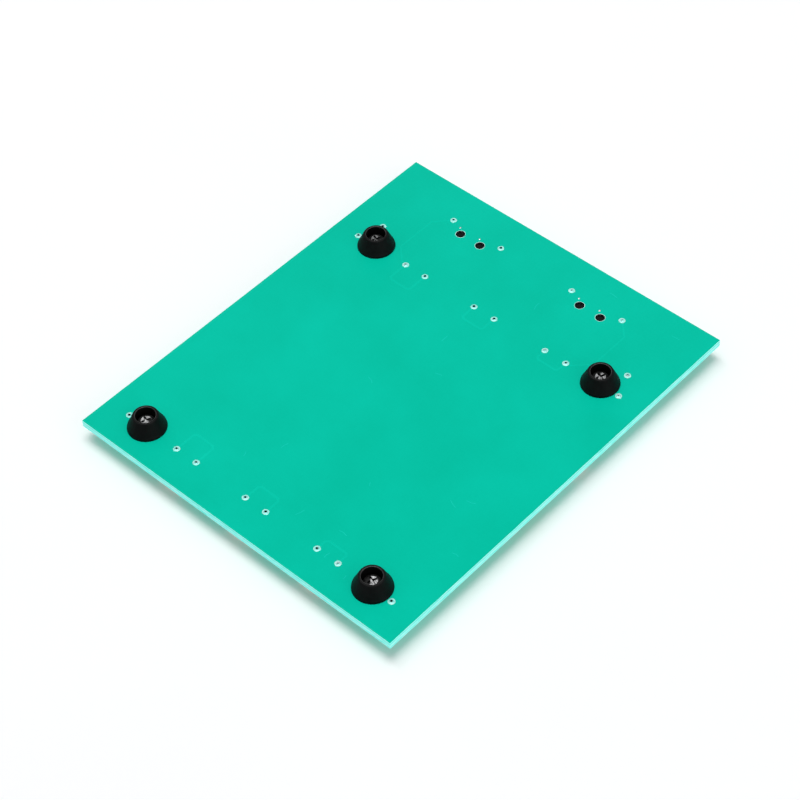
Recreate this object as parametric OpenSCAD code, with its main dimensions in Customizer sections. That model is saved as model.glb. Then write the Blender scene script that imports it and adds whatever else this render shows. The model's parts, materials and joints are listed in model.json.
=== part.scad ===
// Microcontroller dev board for a robotics kit: a two-sided circuit board on four rubber feet.
// The origin is on the plane that the feet stand on, under the board's centre. +Z points out of
// the component face and +Y points to the rear edge, where the USB socket is. Sizes are in mm.

/* [Board] */
// Width of the board, left to right
board_w = 77.5; // [77:0.5:82]
// Length of the board, front to rear
board_l = 93; // [92:0.5:100]
// Thickness of the board
board_t = 1.6; // [1.2:0.1:2]
// Diameter of a drilled hole for a lead
lead_hole_d = 1; // [0.9:0.05:1.2]

/* [Feet] */
// Height of a rubber foot
foot_h = 3.3; // [3:0.1:5]
// Diameter of a foot where it meets the board
foot_base_d = 7.6; // [7.2:0.1:9]
// Diameter of a foot at its tip
foot_tip_d = 4.8; // [4.7:0.1:5.6]
// Distance between the left and right feet
foot_pitch_x = 56.8; // [56:0.2:58]
// Distance of the front feet from the centre line
foot_front_y = -39.6; // [-40:0.1:-39]
// Distance of the rear feet from the centre line
foot_rear_y = 23.2; // [23:0.1:24]

/* [Diodes] */
// Distance between the two leads of a diode
diode_span = 12.7; // [12.5:0.1:12.9]
// Distance between neighbouring diodes in a row
diode_pitch = 17.78; // [17.6:0.01:18]
// Line of the front row of diodes
diode_front_y = -39.8; // [-40:0.1:-39.4]
// Line of the rear row of diodes
diode_rear_y = 22.9; // [22.6:0.1:23.2]
// Diameter of a diode's body
diode_d = 2.5; // [2:0.1:2.7]
// Length of a diode's body
diode_l = 4.8; // [4:0.1:4.8]

/* [Large buttons] */
// Distance of each large button from the centre line
button_x = 15.24; // [15:0.02:15.6]
// Line of the locating pegs of the large buttons
button_y = 36.4; // [36:0.1:37]
// Width of a large button
button_w = 12; // [11.8:0.1:12]
// Travel of a large button's cap
button_travel = 0.3; // [0.2:0.05:0.4]

/* [Power switch] */
// Travel of the power switch's slider
switch_travel = 2; // [1.5:0.1:2]

/* [Battery posts] */
// Distance of each battery post from the centre line
post_x = 31.1; // [30.8:0.1:31.6]
// Line of the battery posts
post_y = 28; // [27.8:0.1:29]

/* [Hidden] */
$fn = 48;
cut = 1;                                  // how far a cutter runs past the face that it cuts
gap = 0.02;                               // clearance between a pin or plate and what it sits in
under_z = foot_h;                         // underside of the board
top_z = foot_h + board_t;                 // component face of the board

mask = [0.05, 0.79, 0.68];
rubber = [0.05, 0.05, 0.05];
steel = [0.72, 0.73, 0.75];
tin = [0.82, 0.83, 0.84];
brass = [0.80, 0.68, 0.38];
epoxy = [0.09, 0.09, 0.10];
cream = [0.90, 0.88, 0.80];
ferrite = [0.25, 0.25, 0.27];

foot_xy = [for (y = [foot_front_y, foot_rear_y], x = [-1, 1]) [x * foot_pitch_x / 2, y]];
foot_bore_d = 2.1;                        // hole through a foot for its screw
foot_recess_d = 3.9;                      // recess in the tip, which hides the screw's head
foot_seat_z = 2.45;                       // where the screw's head bears on the rubber

screw_d = 2;
screw_head_d = 3.4;
screw_head_h = 1;
insert_d = 3.2;
insert_flange_d = 4.2;
insert_flange_h = 0.4;

lead_d = 0.7;                             // round lead of a diode
lead_bend_r = 0.8;
diode_axis_z = diode_d / 2 + 0.05;        // height of a diode's centre line over the board
// Each row has four diodes. The outer bodies sit towards the middle, clear of the foot inserts.
diode_index = [-1.5, -0.5, 0.5, 1.5];
diode_shift = [3.05, 0, 0, -3.05];

joint_d = 1.55;                           // solder joint on the underside
joint_h = 0.22;

button_lead_x = 6.2;                      // each terminal's distance from a button's centre line
button_lead_y = 2.1;                      // the terminals stand this far behind the pegs
peg_x = 2.54;
peg_d = 1.7;
peg_hole_d = 1.9;

chip_stand = 0.1;                         // gap under a chip's body
lead_t = 0.15;

diode_lead_xy = [
    for (y = [diode_front_y, diode_rear_y], i = diode_index, s = [-0.5, 0.5])
        [i * diode_pitch + s * diode_span, y]
];
button_lead_xy = [
    for (x = [-button_x, button_x], s = [-1, 1])
        [x + s * button_lead_x, button_y + button_lead_y]
];
post_xy = [[-post_x, post_y], [post_x, post_y]];
lead_xy = concat(diode_lead_xy, button_lead_xy, post_xy);
peg_xy = [for (x = [-button_x, button_x], s = [-1, 1]) [x + s * peg_x, button_y]];

// ---------- shared shapes ----------

// Puts its children at a place on the component face, turned by a.
module on_board(xy, a = 0) {
    translate([xy[0], xy[1], top_z]) rotate([0, 0, a]) children();
}

// Block centred in X and Y that stands on z = 0.
module block(l, w, h) {
    translate([-l / 2, -w / 2, 0]) cube([l, w, h]);
}

// Moulded block whose four sides slope in above and below its parting line.
module moulded_block(l, w, h, draft) {
    intersection() {
        drafted_prism(l, w + cut, h, draft);
        rotate([0, 0, 90]) drafted_prism(w, l + cut, h, draft);
    }
}

module drafted_prism(l, w, h, draft) {
    half = l / 2;
    rotate([90, 0, 0])
        linear_extrude(w, center = true)
            polygon([
                [draft - half, 0], [half - draft, 0], [half, h / 2],
                [half - draft, h], [draft - half, h], [-half, h / 2]
            ]);
}

// Body of a chip, with a dimple that marks the first lead.
module chip_body(l, w, h, dimple_d) {
    inset = 1.1;
    difference() {
        translate([0, 0, chip_stand]) moulded_block(l, w, h, 0.12);
        translate([inset - l / 2, inset - w / 2, chip_stand + h - 0.08]) cylinder(d = dimple_d, h = cut);
    }
}

// Gull-wing lead that leaves a body at x = 0 and runs out to x = reach.
module gull_lead(reach, width, exit_z) {
    shoulder = reach * 0.3;
    heel = reach * 0.5;
    rotate([90, 0, 0])
        linear_extrude(width, center = true)
            polygon([
                [0, exit_z], [shoulder, exit_z], [heel, 0], [reach, 0],
                [reach, lead_t], [heel + 0.1, lead_t], [shoulder + 0.1, exit_z + lead_t],
                [0, exit_z + lead_t]
            ]);
}

// Row of leads along Y on the +X side of a body that is body_l wide.
module lead_row(count, pitch, body_l, reach, width, exit_z) {
    for (i = [0:count - 1])
        translate([body_l / 2, (i - (count - 1) / 2) * pitch, 0]) gull_lead(reach, width, exit_z);
}

// Thin domed disc: rim radius, crown height to its inside, and thickness.
module snap_dome(rim_r, crown, thickness) {
    sphere_r = (rim_r * rim_r + crown * crown) / (2 * crown);
    steps = 6;
    arc = [for (i = [0:steps]) rim_r * i / steps];
    rotate_extrude()
        polygon(concat(
            [for (x = arc) [x, dome_z(x, sphere_r, crown)]],
            [for (i = [steps:-1:0]) [arc[i], dome_z(arc[i], sphere_r, crown) + thickness]]
        ));
}

function dome_z(x, sphere_r, crown) = sqrt(sphere_r * sphere_r - x * x) - sphere_r + crown;

// Corners of a rectangle with rounded corners, as an outline.
function rounded_outline(w, h, r, steps = 8) = [
    for (q = [0:3], i = [0:steps])
        let (
            a = 90 * q + 90 * i / steps,
            sx = (q == 0 || q == 3) ? 1 : -1,
            sy = (q < 2) ? 1 : -1
        )
        [sx * (w / 2 - r) + r * cos(a), sy * (h / 2 - r) + r * sin(a)]
];

// ---------- board, feet and solder ----------

module circuit_board() {
    color(mask)
        difference() {
            translate([0, 0, under_z]) block(board_w, board_l, board_t);
            board_holes(lead_xy, lead_hole_d);
            board_holes(peg_xy, peg_hole_d);
            board_holes(foot_xy, insert_d);
        }
}

module board_holes(places, d) {
    for (p = places)
        translate([p[0], p[1], under_z - cut]) cylinder(d = d, h = board_t + 2 * cut);
}

// Truncated cone with eased edges, a recess in its tip and a bore for the screw.
module rubber_foot(i) {
    base_r = foot_base_d / 2;
    tip_r = foot_tip_d / 2;
    recess_r = foot_recess_d / 2;
    bore_r = foot_bore_d / 2;
    color(rubber)
        translate([foot_xy[i][0], foot_xy[i][1], 0])
            rotate_extrude()
                polygon([
                    [bore_r, foot_seat_z], [recess_r, foot_seat_z], [recess_r, 0.1],
                    [recess_r + 0.1, 0], [tip_r - 0.16, 0], [tip_r - 0.04, 0.05],
                    [tip_r + 0.04, 0.16], [base_r - 0.05, foot_h - 0.35],
                    [base_r, foot_h - 0.18], [base_r, foot_h], [bore_r, foot_h]
                ]);
}

// Pan-head screws with a cross recess, heads down.
module foot_screws() {
    head_r = screw_head_d / 2;
    head_z = foot_seat_z - screw_head_h;
    shank_r = screw_d / 2;
    tip_z = top_z + insert_flange_h;
    slot_l = 1.9;
    slot_w = 0.45;
    slot_h = 0.55;
    color(steel)
        for (p = foot_xy)
            translate([p[0], p[1], 0])
                difference() {
                    rotate_extrude()
                        polygon([
                            [0, head_z], [head_r - 0.7, head_z], [head_r - 0.25, head_z + 0.12],
                            [head_r, head_z + 0.45], [head_r, foot_seat_z], [shank_r, foot_seat_z],
                            [shank_r, tip_z - 0.2], [shank_r - 0.2, tip_z], [0, tip_z]
                        ]);
                    for (a = [0, 90])
                        rotate([0, 0, a + 20])
                            translate([0, 0, head_z - slot_h]) block(slot_l, slot_w, 2 * slot_h);
                }
}

// Threaded inserts pressed into the board from above.
module foot_inserts() {
    color(brass)
        for (p = foot_xy)
            translate([p[0], p[1], 0])
                difference() {
                    union() {
                        translate([0, 0, under_z + 0.1]) cylinder(d = insert_d, h = board_t - 0.1);
                        translate([0, 0, top_z]) cylinder(d = insert_flange_d, h = insert_flange_h);
                    }
                    translate([0, 0, under_z - cut])
                        cylinder(d = screw_d + 2 * gap, h = board_t + insert_flange_h + 2 * cut);
                }
}

// Low rings of solder round the leads, on the underside.
module solder_joints() {
    inner_r = lead_d / 2 + gap / 2;
    color(tin)
        for (p = lead_xy)
            translate([p[0], p[1], under_z])
                rotate_extrude()
                    polygon([
                        [inner_r, 0], [joint_d / 2, 0], [joint_d / 2 - 0.12, -joint_h / 2],
                        [inner_r + 0.14, -joint_h], [inner_r, -joint_h]
                    ]);
}

// ---------- diodes and battery posts ----------

module diode(y, k) {
    body_x = diode_shift[k];
    half_span = diode_span / 2;
    color(epoxy)
        translate([diode_index[k] * diode_pitch, y, top_z]) {
            translate([body_x, 0, diode_axis_z]) diode_body();
            for (s = [-1, 1]) {
                body_end = s * body_x + diode_l / 2;
                mirror([s < 0 ? 1 : 0, 0, 0]) diode_lead(body_end, half_span);
            }
        }
}

module diode_body() {
    r = diode_d / 2;
    half = diode_l / 2;
    rotate([0, 90, 0])
        rotate_extrude()
            polygon([
                [0, -half], [r - 0.3, -half], [r, 0.25 - half],
                [r, half - 0.25], [r - 0.3, half], [0, half]
            ]);
}

// Lead that leaves a body's end at x = from, bends down at x = to and runs through the board.
module diode_lead(from, to) {
    flat_l = to - lead_bend_r - from;
    translate([from - 0.2, 0, diode_axis_z])
        rotate([0, 90, 0]) cylinder(d = lead_d, h = flat_l + 0.2);
    translate([to - lead_bend_r, 0, diode_axis_z - lead_bend_r])
        rotate([90, 0, 0])
            rotate_extrude(angle = 90)
                translate([lead_bend_r, 0]) circle(d = lead_d);
    translate([to, 0, -board_t - 0.12])
        cylinder(d = lead_d, h = board_t + 0.12 + diode_axis_z - lead_bend_r);
}

// Turret posts that the battery wires are soldered to.
module battery_posts() {
    tail_r = lead_d / 2;
    color(tin)
        for (p = post_xy)
            on_board(p)
                rotate_extrude()
                    polygon([
                        [0, -board_t - 0.12], [tail_r, -board_t - 0.12], [tail_r, 0], [1.4, 0],
                        [1.4, 0.45], [0.75, 0.6], [0.75, 1.5], [1.15, 1.65], [1.15, 1.95],
                        [0.75, 2.1], [0.75, 2.5], [1.15, 2.6], [1.15, 2.85], [1, 3], [0, 3]
                    ]);
}

// ---------- large buttons ----------

button_base_h = 2;
button_floor_z = 0.7;
button_cavity_d = 8.6;
button_cap_d = 6.6;
button_cap_z = 3.1;
button_cover_t = 0.3;
button_dome_h = 0.45;
button_dome_t = 0.1;
stake_d = 1;
stake_pitch = 9.6;
strip_z = 0.3;
strip_t = 0.2;

module at_button(side) {
    on_board([side * button_x, button_y]) children();
}

module stakes(d, h) {
    for (x = [-0.5, 0.5], y = [-0.5, 0.5])
        translate([x * stake_pitch, y * stake_pitch, 0]) cylinder(d = d, h = h);
}

module button_base(side) {
    color(epoxy)
        at_button(side) {
            difference() {
                block(button_w, button_w - 2 * button_cover_t, button_base_h);
                translate([0, 0, button_floor_z]) cylinder(d = button_cavity_d, h = button_base_h);
                button_strips();
            }
            for (s = [-1, 1])
                translate([s * peg_x, 0, 0.5 - board_t]) cylinder(d = peg_d, h = board_t);
            stakes(stake_d, button_base_h + button_cover_t + 0.15);
        }
}

// Flat part of the terminals, which the base is moulded round.
module button_strips() {
    strip_w = 1;
    outer_x = button_lead_x + 0.15;
    rim_x = 2.5;
    translate([-outer_x, button_lead_y - strip_w / 2, strip_z]) cube([outer_x - rim_x, strip_w, strip_t]);
    translate([-3.4, button_lead_y - strip_w / 2, strip_z]) cube([0.9, strip_w, button_floor_z - strip_z]);
    translate([-0.6, button_lead_y - strip_w / 2, strip_z]) cube([outer_x + 0.6, strip_w, strip_t]);
    translate([-0.6, -0.6, strip_z]) cube([1.2, button_lead_y + 0.1, strip_t]);
    translate([0, 0, strip_z]) cylinder(d = 1.2, h = button_floor_z - strip_z);
}

// Two terminals: one feeds the dome's rim, the other ends under its crown.
module button_terminals(side) {
    leg_w = 0.6;
    leg_t = 0.3;
    tail_z = -board_t - 0.12;
    color(tin)
        at_button(side) {
            button_strips();
            for (s = [-1, 1])
                translate([s * button_lead_x - leg_t / 2, button_lead_y - leg_w / 2, tail_z])
                    cube([leg_t, leg_w, strip_z + strip_t - tail_z]);
        }
}

module button_dome(side) {
    color(steel)
        at_button(side)
            translate([0, 0, button_floor_z]) snap_dome(3.8, button_dome_h, button_dome_t);
}

// Round cap with a flange that the cover holds down, and a nub that bears on the dome.
module button_cap(side) {
    nub_z = button_floor_z + button_dome_h + button_dome_t + gap;
    flange_z = nub_z + 0.15;
    flange_top = button_base_h - 0.05;
    flange_r = button_cavity_d / 2 - 0.15;
    cap_r = button_cap_d / 2;
    color(epoxy)
        at_button(side)
            rotate_extrude()
                polygon([
                    [0, nub_z], [1.2, nub_z], [1.2, flange_z], [flange_r, flange_z],
                    [flange_r, flange_top], [cap_r, flange_top], [cap_r, button_cap_z - 0.25],
                    [cap_r - 0.08, button_cap_z - 0.08], [cap_r - 0.25, button_cap_z], [0, button_cap_z]
                ]);
}

// Steel plate staked to the base, with a tab folded down at the front and the back.
module button_cover(side) {
    tab_w = 3.4;
    tab_h = 1.1;
    color(steel)
        at_button(side)
            difference() {
                union() {
                    translate([0, 0, button_base_h]) block(button_w, button_w, button_cover_t);
                    for (s = [-1, 1])
                        translate([0, s * (button_w - button_cover_t) / 2, button_base_h - tab_h])
                            block(tab_w, button_cover_t, tab_h);
                }
                translate([0, 0, button_base_h - cut])
                    cylinder(d = button_cap_d + 0.4, h = button_cover_t + 2 * cut);
                translate([0, 0, button_base_h]) stakes(stake_d + 2 * gap, button_cover_t + cut);
            }
}

// ---------- chips ----------

mcu_xy = [0, -9];
mcu_w = 10;
mcu_h = 1.4;
mcu_leads_a_side = 16;
mcu_pitch = 0.5;

driver_x = 21.5;
driver_y = 7;
driver_l = 12.8;
driver_w = 7.5;
driver_h = 2.35;
driver_leads_a_side = 10;
driver_pitch = 1.27;

module microcontroller_body() {
    color(epoxy) on_board(mcu_xy) chip_body(mcu_w, mcu_w, mcu_h, 1);
}

module microcontroller_leads() {
    color(tin)
        on_board(mcu_xy)
            for (a = [0:90:270])
                rotate([0, 0, a]) lead_row(mcu_leads_a_side, mcu_pitch, mcu_w, 1, 0.22, 0.7);
}

module driver_body(side) {
    color(epoxy) on_board([side * driver_x, driver_y]) chip_body(driver_w, driver_l, driver_h, 1.2);
}

module driver_leads(side) {
    color(tin)
        on_board([side * driver_x, driver_y])
            for (a = [0, 180])
                rotate([0, 0, a])
                    lead_row(driver_leads_a_side, driver_pitch, driver_w, 1.4, 0.42, 1.15);
}

// ---------- power parts ----------

crystal_xy = [-9.5, -17.2];
regulator_xy = [-12.5, 13];
regulator_l = 6.5;
regulator_w = 3.5;
regulator_h = 1.6;
inductor_xy = [0, 14];
inductor_w = 6.2;
inductor_h = 2.7;
capacitor_xy = [[11.5, 14], [-31.6, -8], [31.6, -8], [0, 5]];
capacitor_l = 7.3;
capacitor_w = 4.3;
capacitor_h = 2.7;

module regulator_body() {
    color(epoxy)
        on_board(regulator_xy)
            translate([0, 0, chip_stand]) moulded_block(regulator_l, regulator_w, regulator_h, 0.15);
}

// Three legs at the front and a wide tab at the back.
module regulator_leads() {
    reach = 1.7;
    exit_z = 0.75;
    color(tin)
        on_board(regulator_xy) {
            for (x = [-2.3, 0, 2.3])
                translate([x, -regulator_w / 2, 0]) rotate([0, 0, -90]) gull_lead(reach, 0.7, exit_z);
            translate([0, regulator_w / 2, 0]) rotate([0, 0, 90]) gull_lead(reach, 3, exit_z);
        }
}

// Metal can on a ceramic base.
module crystal() {
    color(steel)
        on_board(crystal_xy) {
            block(3.2, 2.5, 0.35);
            translate([0, 0, 0.35]) block(2.9, 2.2, 0.4);
        }
}

module inductor_core() {
    well_d = 4.8;
    color(ferrite)
        on_board(inductor_xy)
            difference() {
                linear_extrude(inductor_h) polygon(rounded_outline(inductor_w, inductor_w, 1.4));
                translate([0, 0, 0.5])
                    difference() {
                        cylinder(d = well_d, h = inductor_h);
                        translate([0, 0, -cut]) cylinder(d = 2.2, h = inductor_h + cut - 0.6);
                    }
            }
}

// Coil round the core's centre post, as the sleeve that its turns fill.
module inductor_winding() {
    inner_d = 2.24;
    outer_d = 4.4;
    color(brass)
        on_board(inductor_xy)
            translate([0, 0, 0.5])
                difference() {
                    cylinder(d = outer_d, h = 1.8);
                    translate([0, 0, -cut]) cylinder(d = inner_d, h = inductor_h + cut);
                }
}

module supply_capacitors() {
    color([0.86, 0.62, 0.16])
        for (p = capacitor_xy)
            on_board(p, p[1] < 0 ? 90 : 0)
                translate([0, 0, chip_stand]) moulded_block(capacitor_l, capacitor_w, capacitor_h, 0.15);
}

// Flat straps that leave each capacitor's end and turn down to the board.
module capacitor_terminals() {
    strap_w = 2.4;
    strap_t = 0.12;
    strap_h = 1.3;
    color(tin)
        for (p = capacitor_xy, a = [0, 180])
            on_board(p, a + (p[1] < 0 ? 90 : 0))
                translate([capacitor_l / 2 + gap + strap_t / 2, 0, 0]) block(strap_t, strap_w, strap_h);
}

// ---------- USB socket ----------

usb_w = 8.94;
usb_h = 3.16;
usb_l = 7.3;
usb_wall = 0.28;
usb_mouth_y = board_l / 2 - 0.1;
usb_block_l = 1.8;
usb_contact_pitch = 0.5;
usb_contacts_a_row = 12;

// Puts its children with the socket's mouth at z = 0 and its depth along +z.
module at_usb() {
    translate([0, usb_mouth_y, top_z + usb_h / 2]) rotate([90, 0, 0]) children();
}

module usb_shell() {
    inner_h = usb_h - 2 * usb_wall;
    color(steel) {
        at_usb()
            linear_extrude(usb_l)
                difference() {
                    polygon(rounded_outline(usb_w, usb_h, 1.4));
                    polygon(rounded_outline(usb_w - 2 * usb_wall, inner_h, 1.4 - usb_wall));
                }
        for (x = [-1, 1], y = [1.6, 5.6])
            translate([x * (usb_w / 2 - 0.3), usb_mouth_y - y, top_z]) block(1.6, 1.1, 0.25);
    }
}

// Moulded insert: a block across the back of the shell and a tongue towards the mouth.
module usb_tongue() {
    color(epoxy)
        difference() {
            at_usb() {
                translate([0, 0, usb_l - usb_block_l])
                    linear_extrude(usb_block_l)
                        polygon(rounded_outline(
                            usb_w - 2 * usb_wall - 2 * gap, usb_h - 2 * usb_wall - 2 * gap, 1.4 - usb_wall
                        ));
                translate([0, 0, 1]) block(6.7, 0.7, usb_l - usb_block_l);
            }
            usb_contacts();
        }
}

// Strips let into both faces of the tongue, which turn down to the board behind the shell.
module usb_contacts() {
    strip_w = 0.26;
    strip_t = 0.12;
    row_y = 0.3;
    from_z = 1.6;
    color(brass)
        at_usb()
            for (i = [0:usb_contacts_a_row - 1], s = [-1, 1]) {
                top_y = s * row_y + strip_t / 2;
                rear_z = usb_l + (s < 0 ? 0.25 : 0.75);
                translate([(i - (usb_contacts_a_row - 1) / 2) * usb_contact_pitch - strip_w / 2, 0, 0]) {
                    translate([0, top_y - strip_t, from_z]) cube([strip_w, strip_t, rear_z - from_z]);
                    translate([0, -usb_h / 2, rear_z - 0.2]) cube([strip_w, top_y + usb_h / 2, 0.2]);
                }
            }
}

// ---------- servo and motor sockets ----------

socket_h = 2.9;
socket_l = 4.2;
socket_wall = 0.5;
socket_back = 1;
socket_set_back = 1.8;                    // the mouth stands this far inside the board's edge
pin_pitch = 1;
pin_w = 0.3;
motor_socket_y = 7;
servo_x = [-17.78, 0, 17.78];

// Each socket: place of its mouth, direction, and number of contacts.
servo_sites = [for (x = servo_x) [[x, socket_set_back - board_l / 2], 0, 3]];
motor_sites = [
    for (s = [-1, 1]) [[s * (board_w / 2 - socket_set_back), motor_socket_y], s * 90, 2]
];

function socket_w(ways) = ways * pin_pitch + 2;

// Open-mouthed box that faces -Y, with two keyways in its roof.
module socket_housing(ways) {
    w = socket_w(ways);
    inner_w = w - 2 * socket_wall;
    inner_h = socket_h - 2 * socket_wall;
    key_w = 0.5;
    key_l = 1.6;
    difference() {
        translate([0, socket_l / 2, 0]) block(w, socket_l, socket_h);
        translate([-inner_w / 2, -cut, socket_wall]) cube([inner_w, socket_l - socket_back + cut, inner_h]);
        for (s = [-1, 1])
            translate([s * (inner_w / 2 - 0.6) - key_w / 2, -cut, socket_h - 2 * socket_wall])
                cube([key_w, key_l + cut, cut + socket_wall]);
        socket_pins(ways);
    }
}

// Pins through the back wall, each turned down to a foot behind the housing.
module socket_pins(ways) {
    pin_z = 1.35;
    pin_t = 0.25;
    tip_y = 0.9;
    heel_y = socket_l + 0.1;
    foot_y = socket_l + 0.65;
    for (i = [0:ways - 1])
        translate([(i - (ways - 1) / 2) * pin_pitch - pin_w / 2, 0, 0])
            rotate([90, 0, 90])
                linear_extrude(pin_w)
                    polygon([
                        [tip_y, pin_z], [heel_y, pin_z], [heel_y, 0], [foot_y, 0], [foot_y, 0.2],
                        [heel_y + 0.2, 0.2], [heel_y + 0.2, pin_z + pin_t], [tip_y, pin_z + pin_t]
                    ]);
}

// Steel angles at the housing's sides, which hold it down.
module socket_brackets(ways) {
    bracket_l = 1.5;
    for (s = [0, 1])
        mirror([s, 0, 0])
            translate([socket_w(ways) / 2 + gap, socket_l / 2 + bracket_l / 2, 0])
                rotate([90, 0, 0])
                    linear_extrude(bracket_l)
                        polygon([[0, 0], [0.7, 0], [0.7, 0.2], [0.2, 0.2], [0.2, 1.3], [0, 1.3]]);
}

module servo_sockets() {
    color(cream) for (s = servo_sites) on_board(s[0], s[1]) socket_housing(s[2]);
}

module motor_sockets() {
    color(cream) for (s = motor_sites) on_board(s[0], s[1]) socket_housing(s[2]);
}

module socket_contacts() {
    color(tin)
        for (s = concat(servo_sites, motor_sites))
            on_board(s[0], s[1]) {
                socket_pins(s[2]);
                socket_brackets(s[2]);
            }
}

// ---------- small surface-mounted parts ----------

light_pitch = 4;
light_y = -24;
chip_size = [1.6, 0.8, 0.45];

// Each small part: place and direction.
resistor_sites = concat(
    [for (i = [-1.5:1.5]) [[i * light_pitch, light_y - 3], 90]],
    [for (s = [-1, 1], y = [-1.5, -3.5]) [[s * driver_x, y], 0]],
    [for (s = [-1, 1]) [[s * 2.4, 35.6], 90]],
    [for (s = [-1, 1], x = [9, 11, 13]) [[s * x, -9], 90]],
    [for (x = [16, 18, 20, 22]) [[x, -16], 90]],
    [[[-22.6, 33.6], 0], [[22.6, 33.6], 0]]
);
chip_capacitor_sites = concat(
    [for (s = [-1, 1], y = [-3.6, -14.4]) [[s * 8.2, y], 0]],
    [for (x = [-3, 3]) [[x, -17.2], 0]],
    [for (s = [-1, 1]) [[s * driver_x, 16.2], 0]],
    [[[-7, 8.5], 90], [[6.4, 9], 0], [[0, 33], 0], [[-12.4, -14.6], 90], [[-12.4, -17.6], 90]],
    [for (x = [-22, -20, -18, -16]) [[x, -16], 90]]
);

// Ceramic chip with a metal cap on each end.
module end_capped_chip(size) {
    cap_l = 0.3;
    proud = 0.03;
    translate([0, 0, proud]) block(size[0] - 2 * cap_l, size[1] - 2 * proud, size[2] - 2 * proud);
    for (s = [-1, 1])
        translate([s * (size[0] - cap_l) / 2, 0, 0]) block(cap_l, size[1], size[2]);
}

module chip_resistors() {
    color(epoxy) for (s = resistor_sites) on_board(s[0], s[1]) end_capped_chip(chip_size);
}

module chip_capacitors() {
    color([0.72, 0.60, 0.45])
        for (s = chip_capacitor_sites)
            on_board(s[0], s[1]) end_capped_chip([chip_size[0], chip_size[1], 0.8]);
}

module status_lights() {
    color(cream)
        for (i = [-1.5:1.5])
            on_board([i * light_pitch, light_y], 90) {
                block(1.6, 0.8, 0.3);
                translate([0, 0, 0.3]) moulded_block(1.1, 0.8, 0.35, 0.08);
            }
}

// ---------- reset button ----------

reset_xy = [-29.5, 38];
reset_w = 5.2;
reset_base_h = 1.2;
reset_floor_z = 0.4;
reset_cavity_d = 3.9;
reset_cap_d = 2.6;
reset_cap_z = 2;
reset_cover_t = 0.2;
reset_dome_h = 0.25;
reset_dome_t = 0.08;

module reset_button_base() {
    color(epoxy)
        on_board(reset_xy)
            difference() {
                block(reset_w, reset_w, reset_base_h);
                translate([0, 0, reset_floor_z]) cylinder(d = reset_cavity_d, h = reset_base_h);
            }
}

module reset_button_terminals() {
    color(tin)
        on_board(reset_xy)
            for (a = [0, 180], y = [-1, 1])
                rotate([0, 0, a])
                    translate([reset_w / 2 + gap, y * 1.85, 0]) gull_lead(1, 0.7, 0.45);
}

module reset_button_dome() {
    color(steel)
        on_board(reset_xy)
            translate([0, 0, reset_floor_z]) snap_dome(1.75, reset_dome_h, reset_dome_t);
}

module reset_button_cap() {
    nub_z = reset_floor_z + reset_dome_h + reset_dome_t + gap;
    flange_r = reset_cavity_d / 2 - 0.15;
    flange_top = reset_base_h - 0.03;
    cap_r = reset_cap_d / 2;
    color(cream)
        on_board(reset_xy)
            rotate_extrude()
                polygon([
                    [0, nub_z], [0.6, nub_z], [0.6, nub_z + 0.1], [flange_r, nub_z + 0.1],
                    [flange_r, flange_top], [cap_r, flange_top], [cap_r, reset_cap_z - 0.12],
                    [cap_r - 0.12, reset_cap_z], [0, reset_cap_z]
                ]);
}

module reset_button_cover() {
    color(steel)
        on_board(reset_xy)
            translate([0, 0, reset_base_h])
                difference() {
                    block(reset_w, reset_w, reset_cover_t);
                    translate([0, 0, -cut]) cylinder(d = reset_cap_d + 0.3, h = reset_cover_t + 2 * cut);
                }
}

// ---------- power switch ----------

switch_xy = [29.5, 38];
switch_w = 3.6;
switch_l = 9.2;
switch_h = 1.9;
switch_plate_t = 0.25;
switch_base_h = 1.1;
switch_floor_z = 0.5;
switch_knob = 1.5;
switch_knob_z = 3;
switch_rest_y = -switch_travel / 2;       // the slider rests at the end nearest the front: off
switch_leg_y = [-2.5, 0, 2.5];

// Tray with a channel for the wiper.
module power_switch_base() {
    base_w = switch_w - 2 * switch_plate_t - 2 * gap;
    base_l = switch_l - 2 * switch_plate_t - 2 * gap;
    channel_w = 1.7;
    color(epoxy)
        on_board(switch_xy)
            difference() {
                block(base_w, base_l, switch_base_h);
                translate([0, 0, switch_floor_z]) block(channel_w, base_l - 0.8, switch_base_h);
                switch_strips();
            }
}

// Contact strips in the channel's floor.
module switch_strips() {
    for (y = switch_leg_y)
        translate([-0.5, y - 0.35, switch_floor_z - 0.15]) cube([switch_w / 2 + 0.6, 0.7, 0.15]);
}

module power_switch_terminals() {
    color(tin)
        on_board(switch_xy) {
            switch_strips();
            for (y = switch_leg_y)
                translate([switch_w / 2, y - 0.35, 0]) {
                    cube([0.15, 0.7, switch_floor_z]);
                    cube([0.9, 0.7, 0.15]);
                }
        }
}

// Plate that runs under the frame, with the knob that stands up through the slot.
module power_switch_slider() {
    plate_z = switch_base_h + gap;
    plate_top = switch_h - switch_plate_t - gap;
    color(epoxy)
        on_board(switch_xy)
            translate([0, switch_rest_y, 0]) {
                translate([0, 0, plate_z]) block(2.5, 4.4, plate_top - plate_z);
                translate([0, 0, plate_z]) block(switch_knob, switch_knob, switch_knob_z - plate_z);
            }
}

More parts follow.
